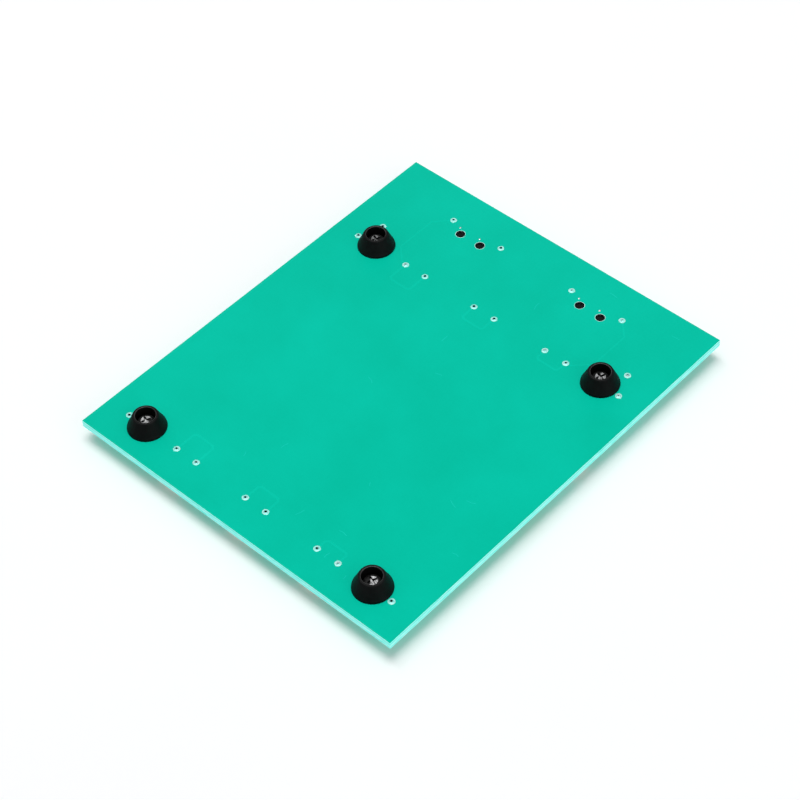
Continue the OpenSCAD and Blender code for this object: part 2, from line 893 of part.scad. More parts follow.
// Bowed spring strip under the slider, which bridges two contact strips.
module power_switch_wiper() {
    top = switch_base_h + gap;
    low = switch_floor_z + gap;
    half = 1.9;
    t = 0.12;
    color(brass)
        on_board(switch_xy)
            translate([-0.55, switch_rest_y, 0])
                rotate([90, 0, 90])
                    linear_extrude(1.1)
                        polygon([
                            [-half, low + 0.15], [-half + 0.4, low], [-half + 0.8, low + 0.1],
                            [-0.5, top - t], [0.5, top - t],
                            [half - 0.8, low + 0.1], [half - 0.4, low], [half, low + 0.15],
                            [half, low + 0.15 + t], [half - 0.4, low + t], [half - 0.8, low + 0.1 + t],
                            [0.6, top], [-0.6, top],
                            [-half + 0.8, low + 0.1 + t], [-half + 0.4, low + t], [-half, low + 0.15 + t]
                        ]);
}

// Folded steel cover with a slot for the knob and a foot at each end.
module power_switch_frame() {
    t = switch_plate_t;
    skirt_z = 0.65;
    slot_l = switch_travel + switch_knob + 0.3;
    color(steel)
        on_board(switch_xy) {
            difference() {
                translate([0, 0, switch_h - t]) block(switch_w, switch_l, t);
                translate([0, 0, switch_h - t - cut]) block(switch_knob + 0.3, slot_l, t + 2 * cut);
            }
            for (s = [-1, 1]) {
                translate([s * (switch_w - t) / 2, 0, skirt_z]) block(t, switch_l, switch_h - skirt_z);
                translate([0, s * (switch_l - t) / 2, 0]) block(switch_w, t, switch_h);
                translate([0, s * (switch_l / 2 + 0.4), 0]) block(1.6, 0.9, 0.2);
            }
        }
}

circuit_board();
rubber_foot(0);  // foot_front_left
rubber_foot(1);  // foot_front_right
rubber_foot(2);  // foot_rear_left
rubber_foot(3);  // foot_rear_right
foot_screws();
foot_inserts();
solder_joints();
diode(diode_front_y, 0);  // diode_front_1
diode(diode_front_y, 1);  // diode_front_2
diode(diode_front_y, 2);  // diode_front_3
diode(diode_front_y, 3);  // diode_front_4
diode(diode_rear_y, 0);  // diode_rear_1
diode(diode_rear_y, 1);  // diode_rear_2
diode(diode_rear_y, 2);  // diode_rear_3
diode(diode_rear_y, 3);  // diode_rear_4
battery_posts();
button_base(-1);  // left_button_base
button_terminals(-1);  // left_button_terminals
button_dome(-1);  // left_button_dome
button_cap(-1);  // left_button_cap
button_cover(-1);  // left_button_cover
button_base(1);  // right_button_base
button_terminals(1);  // right_button_terminals
button_dome(1);  // right_button_dome
button_cap(1);  // right_button_cap
button_cover(1);  // right_button_cover
microcontroller_body();
microcontroller_leads();
driver_body(-1);  // left_driver_body
driver_leads(-1);  // left_driver_leads
driver_body(1);  // right_driver_body
driver_leads(1);  // right_driver_leads
usb_shell();
usb_tongue();
usb_contacts();
regulator_body();
regulator_leads();
crystal();
inductor_core();
inductor_winding();
supply_capacitors();
capacitor_terminals();
servo_sockets();
motor_sockets();
socket_contacts();
status_lights();
chip_resistors();
chip_capacitors();
reset_button_base();
reset_button_terminals();
reset_button_dome();
reset_button_cap();
reset_button_cover();
power_switch_base();
power_switch_terminals();
power_switch_slider();
power_switch_wiper();
power_switch_frame();
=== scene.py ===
"""Looks of the microcontroller dev board: studio, materials and detailed pieces round the CAD frame."""

import json
import math
import random

import bmesh
import bpy
from mathutils import Matrix, Vector, noise


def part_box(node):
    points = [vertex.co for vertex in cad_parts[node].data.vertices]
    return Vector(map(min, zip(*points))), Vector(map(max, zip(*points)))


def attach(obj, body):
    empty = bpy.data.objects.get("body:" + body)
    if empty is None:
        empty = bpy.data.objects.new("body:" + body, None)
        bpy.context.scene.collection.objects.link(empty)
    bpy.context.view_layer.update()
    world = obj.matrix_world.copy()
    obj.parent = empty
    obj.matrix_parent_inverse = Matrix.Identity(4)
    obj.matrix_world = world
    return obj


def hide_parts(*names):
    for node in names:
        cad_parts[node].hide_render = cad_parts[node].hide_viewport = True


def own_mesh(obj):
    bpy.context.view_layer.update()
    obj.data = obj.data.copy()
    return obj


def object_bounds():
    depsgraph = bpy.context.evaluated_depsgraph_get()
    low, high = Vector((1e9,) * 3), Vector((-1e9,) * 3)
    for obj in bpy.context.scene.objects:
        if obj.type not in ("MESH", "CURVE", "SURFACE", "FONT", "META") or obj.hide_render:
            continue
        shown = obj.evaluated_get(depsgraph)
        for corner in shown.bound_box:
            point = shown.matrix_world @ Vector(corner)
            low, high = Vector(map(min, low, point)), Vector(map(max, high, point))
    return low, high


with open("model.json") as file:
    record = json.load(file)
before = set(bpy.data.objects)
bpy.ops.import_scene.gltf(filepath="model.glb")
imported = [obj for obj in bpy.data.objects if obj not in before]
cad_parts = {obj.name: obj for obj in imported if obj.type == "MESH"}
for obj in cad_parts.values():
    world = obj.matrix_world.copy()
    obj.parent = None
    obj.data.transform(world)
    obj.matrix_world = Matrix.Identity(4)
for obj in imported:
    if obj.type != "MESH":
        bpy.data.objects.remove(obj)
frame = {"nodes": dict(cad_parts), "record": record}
CAD_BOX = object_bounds()

MM = 0.001
WELD = 2e-6
RANDOM_SEED = 11
random.seed(RANDOM_SEED)

BODY_OF = {
    node: body for body, nodes in frame["record"]["behaviour"]["bodies"].items() for node in nodes
}

BOARD_LOW, BOARD_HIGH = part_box("circuit_board")
UNDER_Z = BOARD_LOW.z
TOP_Z = BOARD_HIGH.z


def placed(name, data):
    """New object in the scene that shows the data."""
    thing = bpy.data.objects.new(name, data)
    bpy.context.scene.collection.objects.link(thing)
    return thing


# ---------- camera ----------

VIEW_AZIMUTH = -44.25
VIEW_ELEVATION = -48.19
VIEW_ROLL = -2.78
VIEW_DISTANCE = 421.9 * MM
VIEW_TARGET = Vector((-2.79, -4.26, UNDER_Z / MM)) * MM
LENS_MM = 101.9
SENSOR_MM = 36
CLIP_NEAR, CLIP_FAR = 0.01, 20


def make_camera():
    """Camera below the board, looking up at its underside. Image-up is close to the board's -Z."""
    azimuth, elevation = math.radians(VIEW_AZIMUTH), math.radians(VIEW_ELEVATION)
    back = Vector((
        math.sin(azimuth) * math.cos(elevation),
        -math.cos(azimuth) * math.cos(elevation),
        math.sin(elevation),
    ))
    right = (-back).cross(Vector((0, 0, -1))).normalized()
    up = back.cross(right)
    roll = math.radians(VIEW_ROLL)
    turned_right = right * math.cos(roll) + up * math.sin(roll)
    turned_up = back.cross(turned_right)
    camera = placed("camera", bpy.data.cameras.new("camera"))
    camera.data.lens = LENS_MM
    camera.data.sensor_width = SENSOR_MM
    camera.data.clip_start = CLIP_NEAR
    camera.data.clip_end = CLIP_FAR
    place = [VIEW_TARGET[i] + back[i] * VIEW_DISTANCE for i in range(3)]
    rows = [(turned_right[i], turned_up[i], back[i], place[i]) for i in range(3)]
    camera.matrix_world = Matrix((*rows, (0, 0, 0, 1)))
    bpy.context.scene.camera = camera


make_camera()


# ---------- materials ----------

def set_inputs(node, values):
    """Sets a shader node's sockets by their names, or links them where the value is another socket."""
    for name, value in values.items():
        if isinstance(value, bpy.types.NodeSocket):
            node.id_data.links.new(value, node.inputs[name])
        else:
            node.inputs[name].default_value = value


def add_node(tree, kind, values):
    """New shader node with its sockets set."""
    node = tree.nodes.new("ShaderNode" + kind)
    set_inputs(node, values)
    return node


def node_tree(name):
    """New material with a Principled shader. Returns the material, its tree and the shader."""
    material = bpy.data.materials.new(name)
    material.use_nodes = True
    tree = material.node_tree
    return material, tree, tree.nodes["Principled BSDF"]


def place_of(tree, stretch=(1, 1, 1)):
    """Position on the object in metres, scaled per axis."""
    place = tree.nodes.new("ShaderNodeTexCoord").outputs["Object"]
    return add_node(tree, "Mapping", {"Vector": place, "Scale": stretch}).outputs["Vector"]


def noise_of(tree, place, feature_mm, detail=4.0, roughness=0.55):
    """Noise whose features are about feature_mm across."""
    scale = 1 / (feature_mm * MM)
    values = {"Vector": place, "Scale": scale, "Detail": detail, "Roughness": roughness}
    return add_node(tree, "TexNoise", values).outputs["Fac"]


def wave_of(tree, place, pitch_mm, axis, distortion=0.6):
    """Parallel ridges across one axis. A wave of scale 1 repeats every 0.314 m."""
    scale = 0.314 / (pitch_mm * MM)
    values = {"Vector": place, "Scale": scale, "Distortion": distortion, "Detail": 2}
    wave = add_node(tree, "TexWave", values)
    wave.bands_direction = axis
    return wave.outputs["Fac"]


def ramp_of(tree, value, stops):
    """Colour ramp through (position, colour) stops."""
    ramp = add_node(tree, "ValToRGB", {"Fac": value})
    elements = ramp.color_ramp.elements
    while len(elements) < len(stops):
        elements.new(0.5)
    for element, (position, colour) in zip(elements, stops):
        element.position = position
        element.color = (*colour, 1)
    return ramp.outputs["Color"]


def range_of(tree, value, low, high, from_low, from_high):
    """Value mapped from one range to another."""
    values = {"Value": value, "From Min": from_low, "From Max": from_high, "To Min": low, "To Max": high}
    return add_node(tree, "MapRange", values).outputs["Result"]


def sum_of(tree, first, second, weight=1.0):
    """first + weight * second."""
    add = tree.nodes.new("ShaderNodeMath")
    add.operation = "MULTIPLY_ADD"
    add.inputs[1].default_value = weight
    tree.links.new(second, add.inputs[0])
    tree.links.new(first, add.inputs[2])
    return add.outputs[0]


def relief_of(tree, height, depth_mm):
    """Bump of depth_mm where height runs from 0 to 1."""
    values = {"Height": height, "Strength": 1.0, "Distance": depth_mm * MM}
    return add_node(tree, "Bump", values).outputs["Normal"]


def surface(name, dark, light, rough, sizes_mm, metallic=0.0, specular=0.5, stretch=(1, 1, 1), coat=0.0):
    """Surface whose colour drifts from dark to light, with uneven gloss and a fine grain. sizes_mm are
    those of the drift, the grain and the relief."""
    drift_mm, grain_mm, relief_mm = sizes_mm
    material, tree, shader = node_tree(name)
    place = place_of(tree, stretch)
    grain = noise_of(tree, place, grain_mm, detail=6.0, roughness=0.65)
    mixed = sum_of(tree, noise_of(tree, place, drift_mm), grain, 0.35)
    set_inputs(shader, {
        "Base Color": ramp_of(tree, mixed, [(0.45, dark), (0.9, light)]),
        "Roughness": range_of(tree, mixed, *rough, 0.4, 0.9),
        "Normal": relief_of(tree, grain, relief_mm),
        "Metallic": metallic, "Specular IOR Level": specular, "Coat Weight": coat,
    })
    return material


def mask_material(name, dark, light):
    """Solder mask over woven glass: faint weave, cloudy tone, small specks."""
    material, tree, shader = node_tree(name)
    place = place_of(tree)
    cloud = noise_of(tree, place, 14.0, detail=3.0)
    grain = noise_of(tree, place, 0.45, detail=5.0, roughness=0.7)
    weave = sum_of(tree, wave_of(tree, place, 0.9, "X"), wave_of(tree, place, 0.9, "Y"))
    mixed = sum_of(tree, sum_of(tree, cloud, grain, 0.3), weave, 0.02)
    set_inputs(shader, {
        "Base Color": ramp_of(tree, mixed, [(0.2, dark), (1.0, light)]),
        "Roughness": range_of(tree, grain, 0.36, 0.5, 0.3, 0.7),
        "Normal": relief_of(tree, sum_of(tree, grain, weave, 0.25), 0.012),
        "Specular IOR Level": 0.14, "Specular Tint": (0.0, 1.0, 0.8, 1),
    })
    return material


def glowing_laminate_material():
    """Cut edge of the glass laminate: pale layers with fine fibre streaks, and a painted glow, as it emits
    light though it is no lamp.
    """
    material, tree, shader = node_tree("laminate")
    layers = wave_of(tree, place_of(tree), 0.75, "Z", distortion=1.5)
    streak = noise_of(tree, place_of(tree, (0.15, 0.15, 1.0)), 0.3, detail=5.0, roughness=0.7)
    mixed = sum_of(tree, streak, layers, 0.3)
    colour = ramp_of(tree, mixed, [
        (0.35, (0.08, 0.80, 0.66)), (0.62, (0.22, 0.96, 0.86)), (0.88, (0.52, 1.0, 0.96)),
    ])
    # The emission is a painted glow that brightens the cut edge; the laminate is no lamp.
    set_inputs(shader, {
        "Base Color": colour, "Emission Color": colour, "Normal": relief_of(tree, mixed, 0.03),
        "Emission Strength": 0.32, "Roughness": 0.55, "Specular IOR Level": 0.2,
    })
    return material


def lens_material():
    """Clear resin lens with a faint warm core."""
    material, tree, shader = node_tree("lens")
    core = noise_of(tree, place_of(tree), 0.4, detail=2.0)
    set_inputs(shader, {
        "Base Color": ramp_of(tree, core, [(0.35, (0.80, 0.86, 0.78)), (0.7, (0.97, 0.97, 0.90))]),
        "Normal": relief_of(tree, core, 0.004),
        "Roughness": 0.12, "Transmission Weight": 0.45, "Coat Weight": 0.4,
    })
    return material


# A mask's darker and lighter tone.
MASKS = {
    "mask": ((0.0002, 0.48, 0.318), (0.001, 0.56, 0.392)),
    "mask_over_copper": ((0.003, 0.54, 0.4), (0.01, 0.64, 0.5)),
    "mask_faint": ((0.0006, 0.51, 0.345), (0.002, 0.595, 0.425)),
}

# A surface's darker and lighter tone, range of roughness, sizes in mm of the drift, the grain and the
# relief, and what else sets it off from plain plastic.
METAL = {"metallic": 1.0}
SURFACES = {
    "rubber": ((0.0004, 0.0008, 0.0008), (0.004, 0.0042, 0.0042), (0.4, 0.58), (1.2, 0.12, 0.014),
               {"specular": 0.13}),
    # Rim of each foot's recess: glossier rubber, and its lighter tone is a painted highlight.
    "rubber_painted_rim_highlight": ((0.02, 0.021, 0.021), (0.085, 0.085, 0.082), (0.28, 0.4), (1.6, 0.12, 0.01),
                    {"specular": 0.4}),
    "steel": ((0.54, 0.55, 0.57), (0.72, 0.73, 0.75), (0.26, 0.38), (0.9, 0.06, 0.003),
              {"metallic": 1.0, "stretch": (0.08, 1.0, 1.0)}),
    # Screw heads: near-black metal on most of the head, and a bright copy on the crown that is a painted
    # highlight.
    "near_black_screw_steel": ((0.004, 0.004, 0.004), (0.02, 0.02, 0.02), (0.35, 0.6), (0.6, 0.1, 0.008),
                        {"metallic": 0.3, "specular": 0.2}),
    "screw_steel_painted_glint": ((0.12, 0.12, 0.12), (0.75, 0.75, 0.75), (0.22, 0.45), (0.7, 0.12, 0.02), METAL),
    "brass": ((0.62, 0.42, 0.16), (0.82, 0.62, 0.28), (0.22, 0.38), (0.6, 0.08, 0.004), METAL),
    "gold": ((0.74, 0.5, 0.18), (0.92, 0.68, 0.3), (0.16, 0.3), (0.6, 0.06, 0.002), METAL),
    "tin": ((0.56, 0.57, 0.58), (0.86, 0.87, 0.88), (0.2, 0.38), (0.5, 0.07, 0.006), METAL),
    "solder": ((0.56, 0.62, 0.61), (0.84, 0.88, 0.87), (0.22, 0.45), (0.5, 0.09, 0.02), {"metallic": 0.6}),
    # Underside solder: tinted teal and lighter than the top solder, a painted reflection of the teal board.
    "solder_under_painted_teal_reflection": ((0.16, 0.78, 0.7), (0.5, 1.0, 0.92), (0.26, 0.5), (0.5, 0.09, 0.02),
                     {"metallic": 0.3}),
    # Lead ends in the solder fillets: near black, a painted shade in each fillet's opening.
    "lead_end_painted_shade": ((0.0008, 0.002, 0.0018), (0.01, 0.014, 0.013), (0.8, 0.95), (0.2, 0.05, 0.02),
                 {"specular": 0.02}),
    "flux": ((0.36, 0.8, 0.72), (0.62, 0.95, 0.9), (0.35, 0.6), (0.4, 0.1, 0.02)),
    "diode": ((0.01, 0.01, 0.011), (0.026, 0.026, 0.028), (0.34, 0.52), (0.8, 0.07, 0.008)),
    "band": ((0.52, 0.53, 0.54), (0.74, 0.75, 0.76), (0.35, 0.5), (0.6, 0.05, 0.006), {"metallic": 0.4}),
    "chip": ((0.016, 0.016, 0.018), (0.04, 0.04, 0.042), (0.5, 0.68), (1.6, 0.05, 0.01)),
    "black_plastic": ((0.004, 0.005, 0.005), (0.014, 0.015, 0.015), (0.36, 0.55), (1.4, 0.08, 0.006),
                      {"specular": 0.3}),
    "cream_nylon": ((0.66, 0.62, 0.52), (0.82, 0.79, 0.7), (0.4, 0.55), (1.8, 0.1, 0.006)),
    "ferrite": ((0.03, 0.03, 0.033), (0.085, 0.085, 0.09), (0.55, 0.8), (0.7, 0.06, 0.02)),
    "copper": ((0.46, 0.15, 0.05), (0.78, 0.32, 0.12), (0.2, 0.34), (0.6, 0.08, 0.004),
               {"metallic": 0.9, "coat": 0.5}),
    "tantalum": ((0.62, 0.33, 0.03), (0.82, 0.5, 0.07), (0.3, 0.46), (1.6, 0.08, 0.006)),
    "stripe": ((0.16, 0.05, 0.01), (0.28, 0.1, 0.02), (0.4, 0.6), (0.8, 0.06, 0.006)),
    "resistor": ((0.008, 0.008, 0.01), (0.022, 0.022, 0.026), (0.22, 0.4), (0.5, 0.05, 0.004)),
    "capacitor": ((0.36, 0.24, 0.13), (0.55, 0.4, 0.25), (0.4, 0.6), (0.5, 0.05, 0.006)),
    "white_base": ((0.72, 0.72, 0.7), (0.86, 0.86, 0.84), (0.4, 0.55), (0.5, 0.05, 0.004)),
    "ink": ((0.66, 0.7, 0.68), (0.86, 0.88, 0.86), (0.5, 0.7), (0.5, 0.06, 0.01)),
}

MATERIALS = {name: mask_material(name, *tones) for name, tones in MASKS.items()}
for name, (dark, light, rough, sizes_mm, *extras) in SURFACES.items():
    MATERIALS[name] = surface(name, dark, light, rough, sizes_mm, **(extras[0] if extras else {}))
MATERIALS["laminate"] = glowing_laminate_material()
MATERIALS["lens"] = lens_material()


# ---------- mesh helpers ----------

CREASE_ANGLE = 35
EASED_ANGLE = 40


def finished(name, bm, materials, body="board", replaces=(), angle=CREASE_ANGLE):
    """Makes a bmesh a piece that rides on a body and takes its finish from a slot. Sharper creases stay."""
    mesh = bpy.data.meshes.new(name)
    bmesh.ops.recalc_face_normals(bm, faces=bm.faces)
    bm.to_mesh(mesh)
    bm.free()
    mesh.shade_smooth()
    mesh.set_sharp_from_angle(angle=math.radians(angle))
    piece = placed(name, mesh)
    for key in materials:
        mesh.materials.append(MATERIALS[key])
    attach(piece, body)
    if replaces:
        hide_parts(*replaces)
    return piece


def joined(node):
    """A CAD node's triangles as a bmesh in which they share their corners."""
    bm = bmesh.new()
    bm.from_mesh(frame["nodes"][node].data)
    bmesh.ops.remove_doubles(bm, verts=bm.verts, dist=WELD)
    return bm


def welded(node):
    """A CAD node's shape as a bmesh, its triangles joined and its flat faces merged."""
    bm = joined(node)
    bmesh.ops.dissolve_limit(
        bm, angle_limit=math.radians(1), verts=bm.verts, edges=bm.edges, use_dissolve_boundaries=False
    )
    return bm


def refine(node, width_mm, *materials, segments=2, paint=None):
    """Replaces a CAD node by a copy whose sharp edges are rounded, as a mould or a press leaves them.
    paint picks a material index for each face."""
    bm = welded(node)
    if paint:
        for face in bm.faces:
            face.material_index = paint(face)
    piece = finished(node + "_finish", bm, materials, BODY_OF[node], [node])
    bevel = piece.modifiers.new("eased_edges", "BEVEL")
    bevel.width = width_mm * MM
    bevel.segments = segments
    bevel.limit_method = "ANGLE"
    bevel.angle_limit = math.radians(EASED_ANGLE)
    bevel.use_clamp_overlap = True
    even = piece.modifiers.new("even_shading", "WEIGHTED_NORMAL")
    even.keep_sharp = True
    return piece


def bridge(bm, first, second):
    """Quads between two closed rings of equally many vertices."""
    for i in range(len(first)):
        k = (i + 1) % len(first)
        bm.faces.new((first[i], first[k], second[k], second[i]))


def add_rod(bm, rings):
    """Closed skin through rings of vertices, with a flat face at each end."""
    for first, second in zip(rings, rings[1:]):
        bridge(bm, first, second)
    bm.faces.new(rings[0])
    bm.faces.new(rings[-1])


def lathe(bm, profile, centre, steps=64):
    """Adds a surface of revolution round the vertical line through centre. profile is (radius, z)."""
    rings = []
    for radius, z in profile:
        if radius < WELD:
            rings.append([bm.verts.new((centre.x, centre.y, z))])
            continue
        rings.append([
            bm.verts.new((
                centre.x + radius * math.cos(2 * math.pi * i / steps),
                centre.y + radius * math.sin(2 * math.pi * i / steps),
                z,
            ))
            for i in range(steps)
        ])
    for lower, upper in zip(rings, rings[1:]):
        for i in range(steps):
            k = (i + 1) % steps
            corners = [
                ring[at % len(ring)] for ring, at in ((lower, i), (lower, k), (upper, k), (upper, i))
            ]
            unique = list(dict.fromkeys(corners))
            if len(unique) > 2:
                bm.faces.new(unique)
    return rings


def rounded_profile(corners, steps=5):
    """Profile through (radius, z, fillet) corners in mm, each corner rounded by its fillet."""
    points = []
    for i, (r, z, fillet) in enumerate(corners):
        here = Vector((r, z))
        if fillet == 0 or i in (0, len(corners) - 1):
            points.append(here)
            continue
        before = Vector(corners[i - 1][:2]) - here
        after = Vector(corners[i + 1][:2]) - here
        reach = min(fillet, before.length * 0.48, after.length * 0.48)
        start, end = here + before.normalized() * reach, here + after.normalized() * reach
        for k in range(steps + 1):
            t = k / steps
            points.append(start * (1 - t) ** 2 + here * 2 * t * (1 - t) + end * t ** 2)
    return [(p.x * MM, p.y * MM) for p in points]


def centre_of(node):
    """Middle of a CAD node's box."""
    low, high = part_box(node)
    return (low + high) / 2


def solids_of(node):
    """Vertex places of each separate solid in a CAD node."""
    bm = joined(node)
    unseen, groups = set(bm.verts), []
    for seed in bm.verts:
        if seed not in unseen:
            continue
        unseen.discard(seed)
        waiting, group = [seed], []
        while waiting:
            vert = waiting.pop()
            group.append(vert.co.copy())
            for edge in vert.link_edges:
                other = edge.other_vert(vert)
                if other in unseen:
                    unseen.discard(other)
                    waiting.append(other)
        groups.append(group)
    bm.free()
    return groups


def box_of(places):
    """Lowest and highest corners round some places."""
    low = Vector([min(p[i] for p in places) for i in range(3)])
    high = Vector([max(p[i] for p in places) for i in range(3)])
    return low, high


def middle_of(places):
    """Middle of the box round some places."""
    low, high = box_of(places)
    return (low + high) / 2


def add_strip(bm, points, width, z, height):
    """Raised strip with sloping sides along a flat polyline. height is negative on the underside."""
    slope = min(abs(height) * 0.8, width * 0.3)
    sections = []
    for i, point in enumerate(points):
        here = Vector((point[0], point[1]))
        ahead = (Vector(points[i + 1][:2]) - here).normalized() if i + 1 < len(points) else None
        behind = (here - Vector(points[i - 1][:2])).normalized() if i else None
        along = ((ahead or behind) + (behind or ahead)).normalized()
        across = Vector((-along.y, along.x))
        stretch = 1 / max(0.4, along.dot(ahead or behind))
        half = width / 2
        sections.append([
            bm.verts.new((*(here + across * offset * stretch), level))
            for offset, level in (
                (-half, z), (slope - half, z + height), (half - slope, z + height), (half, z)
            )
        ])
    add_rod(bm, sections)


DOME_RINGS = 3
DOME_STEPS = 20


def add_dome(bm, centre, radius, height):
    """Low dome that stands on a face at centre. height is negative on the underside."""
    angles = [math.pi / 2 * i / DOME_RINGS for i in range(1, DOME_RINGS)]
    middle = [(radius * math.cos(a), centre.z + height * math.sin(a)) for a in angles]
    lathe(bm, [(radius, centre.z), *middle, (0, centre.z + height)], centre, DOME_STEPS)


# ---------- circuit board ----------

LEAD_HOLE_R = 0.5 * MM
PAD_R = 0.86 * MM
UNDER_PAD_R = 0.64 * MM
PEG_HOLE_R = 0.95 * MM
RAISED = 0.035 * MM
RIM = 0.2 * MM
OUTLINE_HAIR = 0.002 * MM
FLAT_NORMAL = 0.7


def paint_board(face):
    """Mask on both faces, bare laminate on the cut edges, plating in the holes."""
    if abs(face.normal.z) > FLAT_NORMAL:
        return 0
    centre = face.calc_center_median()
    to_rim = min(min(centre[i] - BOARD_LOW[i], BOARD_HIGH[i] - centre[i]) for i in (0, 1))
    return 1 if to_rim < RIM else 2


def make_board():
    """The board with eased edges. Its outline is drawn in a hair, so that no rounding leaves the CAD box."""
    piece = refine("circuit_board", 0.05, "mask", "laminate", "tin", paint=paint_board)
    for vert in piece.data.vertices:
        for i in (0, 1):
            vert.co[i] = min(max(vert.co[i], BOARD_LOW[i] + OUTLINE_HAIR), BOARD_HIGH[i] - OUTLINE_HAIR)


make_board()


THROUGH_LEADS = sorted(
    (middle_of(group) for group in solids_of("solder_joints")), key=lambda p: (round(p.y, 4), p.x)
)
DIODES = [f"diode_{row}_{number}" for row in ("front", "rear") for number in range(1, 5)]
RING_STEPS = 40
WOBBLES_PER_METRE = 1800


def add_ring(bm, centre, inner_r, outer_r, z, thickness, wobble=0.0):
    """Flat ring with rounded shoulders that stands off a face at z by thickness. wobble makes its outer
    edge uneven by that share of its radius."""
    rounding = min(abs(thickness), (outer_r - inner_r) * 0.4)
    profile = [
        (inner_r, z), (inner_r, z + thickness * 0.6), (inner_r + rounding, z + thickness),
        (outer_r - rounding, z + thickness), (outer_r, z + thickness * 0.5), (outer_r, z),
    ]
    for vert in sum(lathe(bm, profile, centre, RING_STEPS), []):
        offset = vert.co - centre
        offset.z = 0
        if offset.length > (inner_r + outer_r) / 2:
            swell = 1 + wobble * noise.noise(vert.co * WOBBLES_PER_METRE)
            vert.co.x = centre.x + offset.x * swell
            vert.co.y = centre.y + offset.y * swell


def make_pads():
    """Tinned rings round every through lead, on both faces."""
    bm = bmesh.new()
    for centre in THROUGH_LEADS:
        add_ring(bm, centre, LEAD_HOLE_R, PAD_R, TOP_Z, RAISED)
    finished("top_pads", bm, ["tin"])
    bm = bmesh.new()
    for centre in THROUGH_LEADS:
        add_ring(bm, centre, LEAD_HOLE_R, UNDER_PAD_R, UNDER_Z, -0.6 * RAISED, wobble=0.08)
    finished("under_pads", bm, ["flux"])


PEG_REACH = 2.54 * MM
PEG_MARK_R = 0.2 * MM
PEG_MARK_OFFSET = Vector((1.25, 1.38, 0)) * MM


def peg_places():
    """Centres of the holes that take the large buttons' pegs."""
    middles = [centre_of(side + "_button_base") for side in ("left", "right")]
    return [Vector((m.x + sign * PEG_REACH, m.y, UNDER_Z)) for m in middles for sign in (-1, 1)]


def make_peg_rims():
    """Pale rim where each drill broke through the mask, with a small bare spot beside it."""
    bm = bmesh.new()
    for centre in peg_places():
        add_ring(bm, centre, PEG_HOLE_R, PEG_HOLE_R + 0.08 * MM, UNDER_Z, -0.4 * RAISED, wobble=0.05)
    finished("peg_hole_rims", bm, ["flux"])
    bm = bmesh.new()
    for centre in peg_places():
        add_dome(bm, centre + PEG_MARK_OFFSET, PEG_MARK_R, -0.2 * PEG_MARK_R)
    finished("peg_hole_marks", bm, ["tin"])


SCUFFS = 16
SCUFF_W = 0.14 * MM
SCUFF_HEIGHT = 0.01 * MM


def make_scuffs():
    """Faint raised marks where the mask on the underside was brushed while wet."""
    bm = bmesh.new()
    for _ in range(SCUFFS):
        x, y = random.uniform(-34, 34) * MM, random.uniform(-43, 43) * MM
        angle = random.uniform(0, math.pi)
        reach = random.uniform(0.4, 1.1) * MM
        bend = angle + random.uniform(-0.5, 0.5)
        turn = (x + reach * math.cos(angle), y + reach * math.sin(angle))
        end = (turn[0] + reach * math.cos(bend), turn[1] + reach * math.sin(bend))
        add_strip(bm, [(x, y), turn, end], SCUFF_W, UNDER_Z, -SCUFF_HEIGHT)
    finished("mask_scuffs", bm, ["mask_over_copper"])


make_pads()
make_peg_rims()


# ---------- tracks, vias and ink ----------

CORNER_CUT = 1.2 * MM
SHORTEST_RUN = 0.01 * MM
LEAD_FOOT_H = 0.06 * MM


def dogleg(start, end, lane):
    """Route from start across to a lane, along it, and on to end, with its corners cut at 45 degrees."""
    (x0, y0), (x1, y1) = start, end
    cut = min(abs(y1 - y0) / 2, abs(lane - x0) * 0.9, abs(x1 - lane) * 0.9, CORNER_CUT)
    turn = math.copysign(cut, y1 - y0)
    points = [
        (x0, y0), (lane - math.copysign(cut, lane - x0), y0), (lane, y0 + turn),
        (lane, y1 - turn), (lane + math.copysign(cut, x1 - lane), y1), (x1, y1),
    ]
    steps = [math.inf] + [(Vector(b) - Vector(a)).length for a, b in zip(points, points[1:])]
    return [point for point, step in zip(points, steps) if step > SHORTEST_RUN]


def mirrored(sign, *places):
    """Places given in mm, with their X turned to one side of the board."""
    return [(sign * x * MM, y * MM) for x, y in places]


def lead_feet(node):
    """Centre of the foot of each lead in a node, where it meets the board."""
    feet = []
    for group in solids_of(node):
        low, high = box_of([p for p in group if p.z < TOP_Z + LEAD_FOOT_H])
        feet.append(((low.x + high.x) / 2, (low.y + high.y) / 2))
    return feet


MCU = centre_of("microcontroller_body")
MCU_FEET = lead_feet("microcontroller_leads")
MCU_BODY_HALF = 5.2 * MM
TRACK_W = 0.22 * MM
MOTOR_W = 0.5 * MM
POWER_W = 1.3 * MM
UNDER_BUS_W = 0.45 * MM
UNDER_BUTTON_W = 0.3 * MM
UNDER_RAISED = 0.012 * MM

# Places in mm that the routes lead to.
REAR_ROW_Y = 22.9
FRONT_ROW_Y = -39.8
LEAD_PITCH = 17.78
LEAD_X = (-20.32, 20.32, 33.02)
BUTTON_Y = 38.5
SERVO_X = (-17.78, 0, 17.78)
SERVO_Y = -40.1
MOTOR_X, MOTOR_Y = 32.4, 6.5
POST_X, POST_Y = 31.1, 28.0


def mcu_side(dx, dy):
    """Feet on one side of the microcontroller, in order along that side."""
    picked = [f for f in MCU_FEET if (f[0] - MCU.x) * dx + (f[1] - MCU.y) * dy > MCU_BODY_HALF]
    return sorted(picked, key=lambda f: f[1] if dx else f[0])


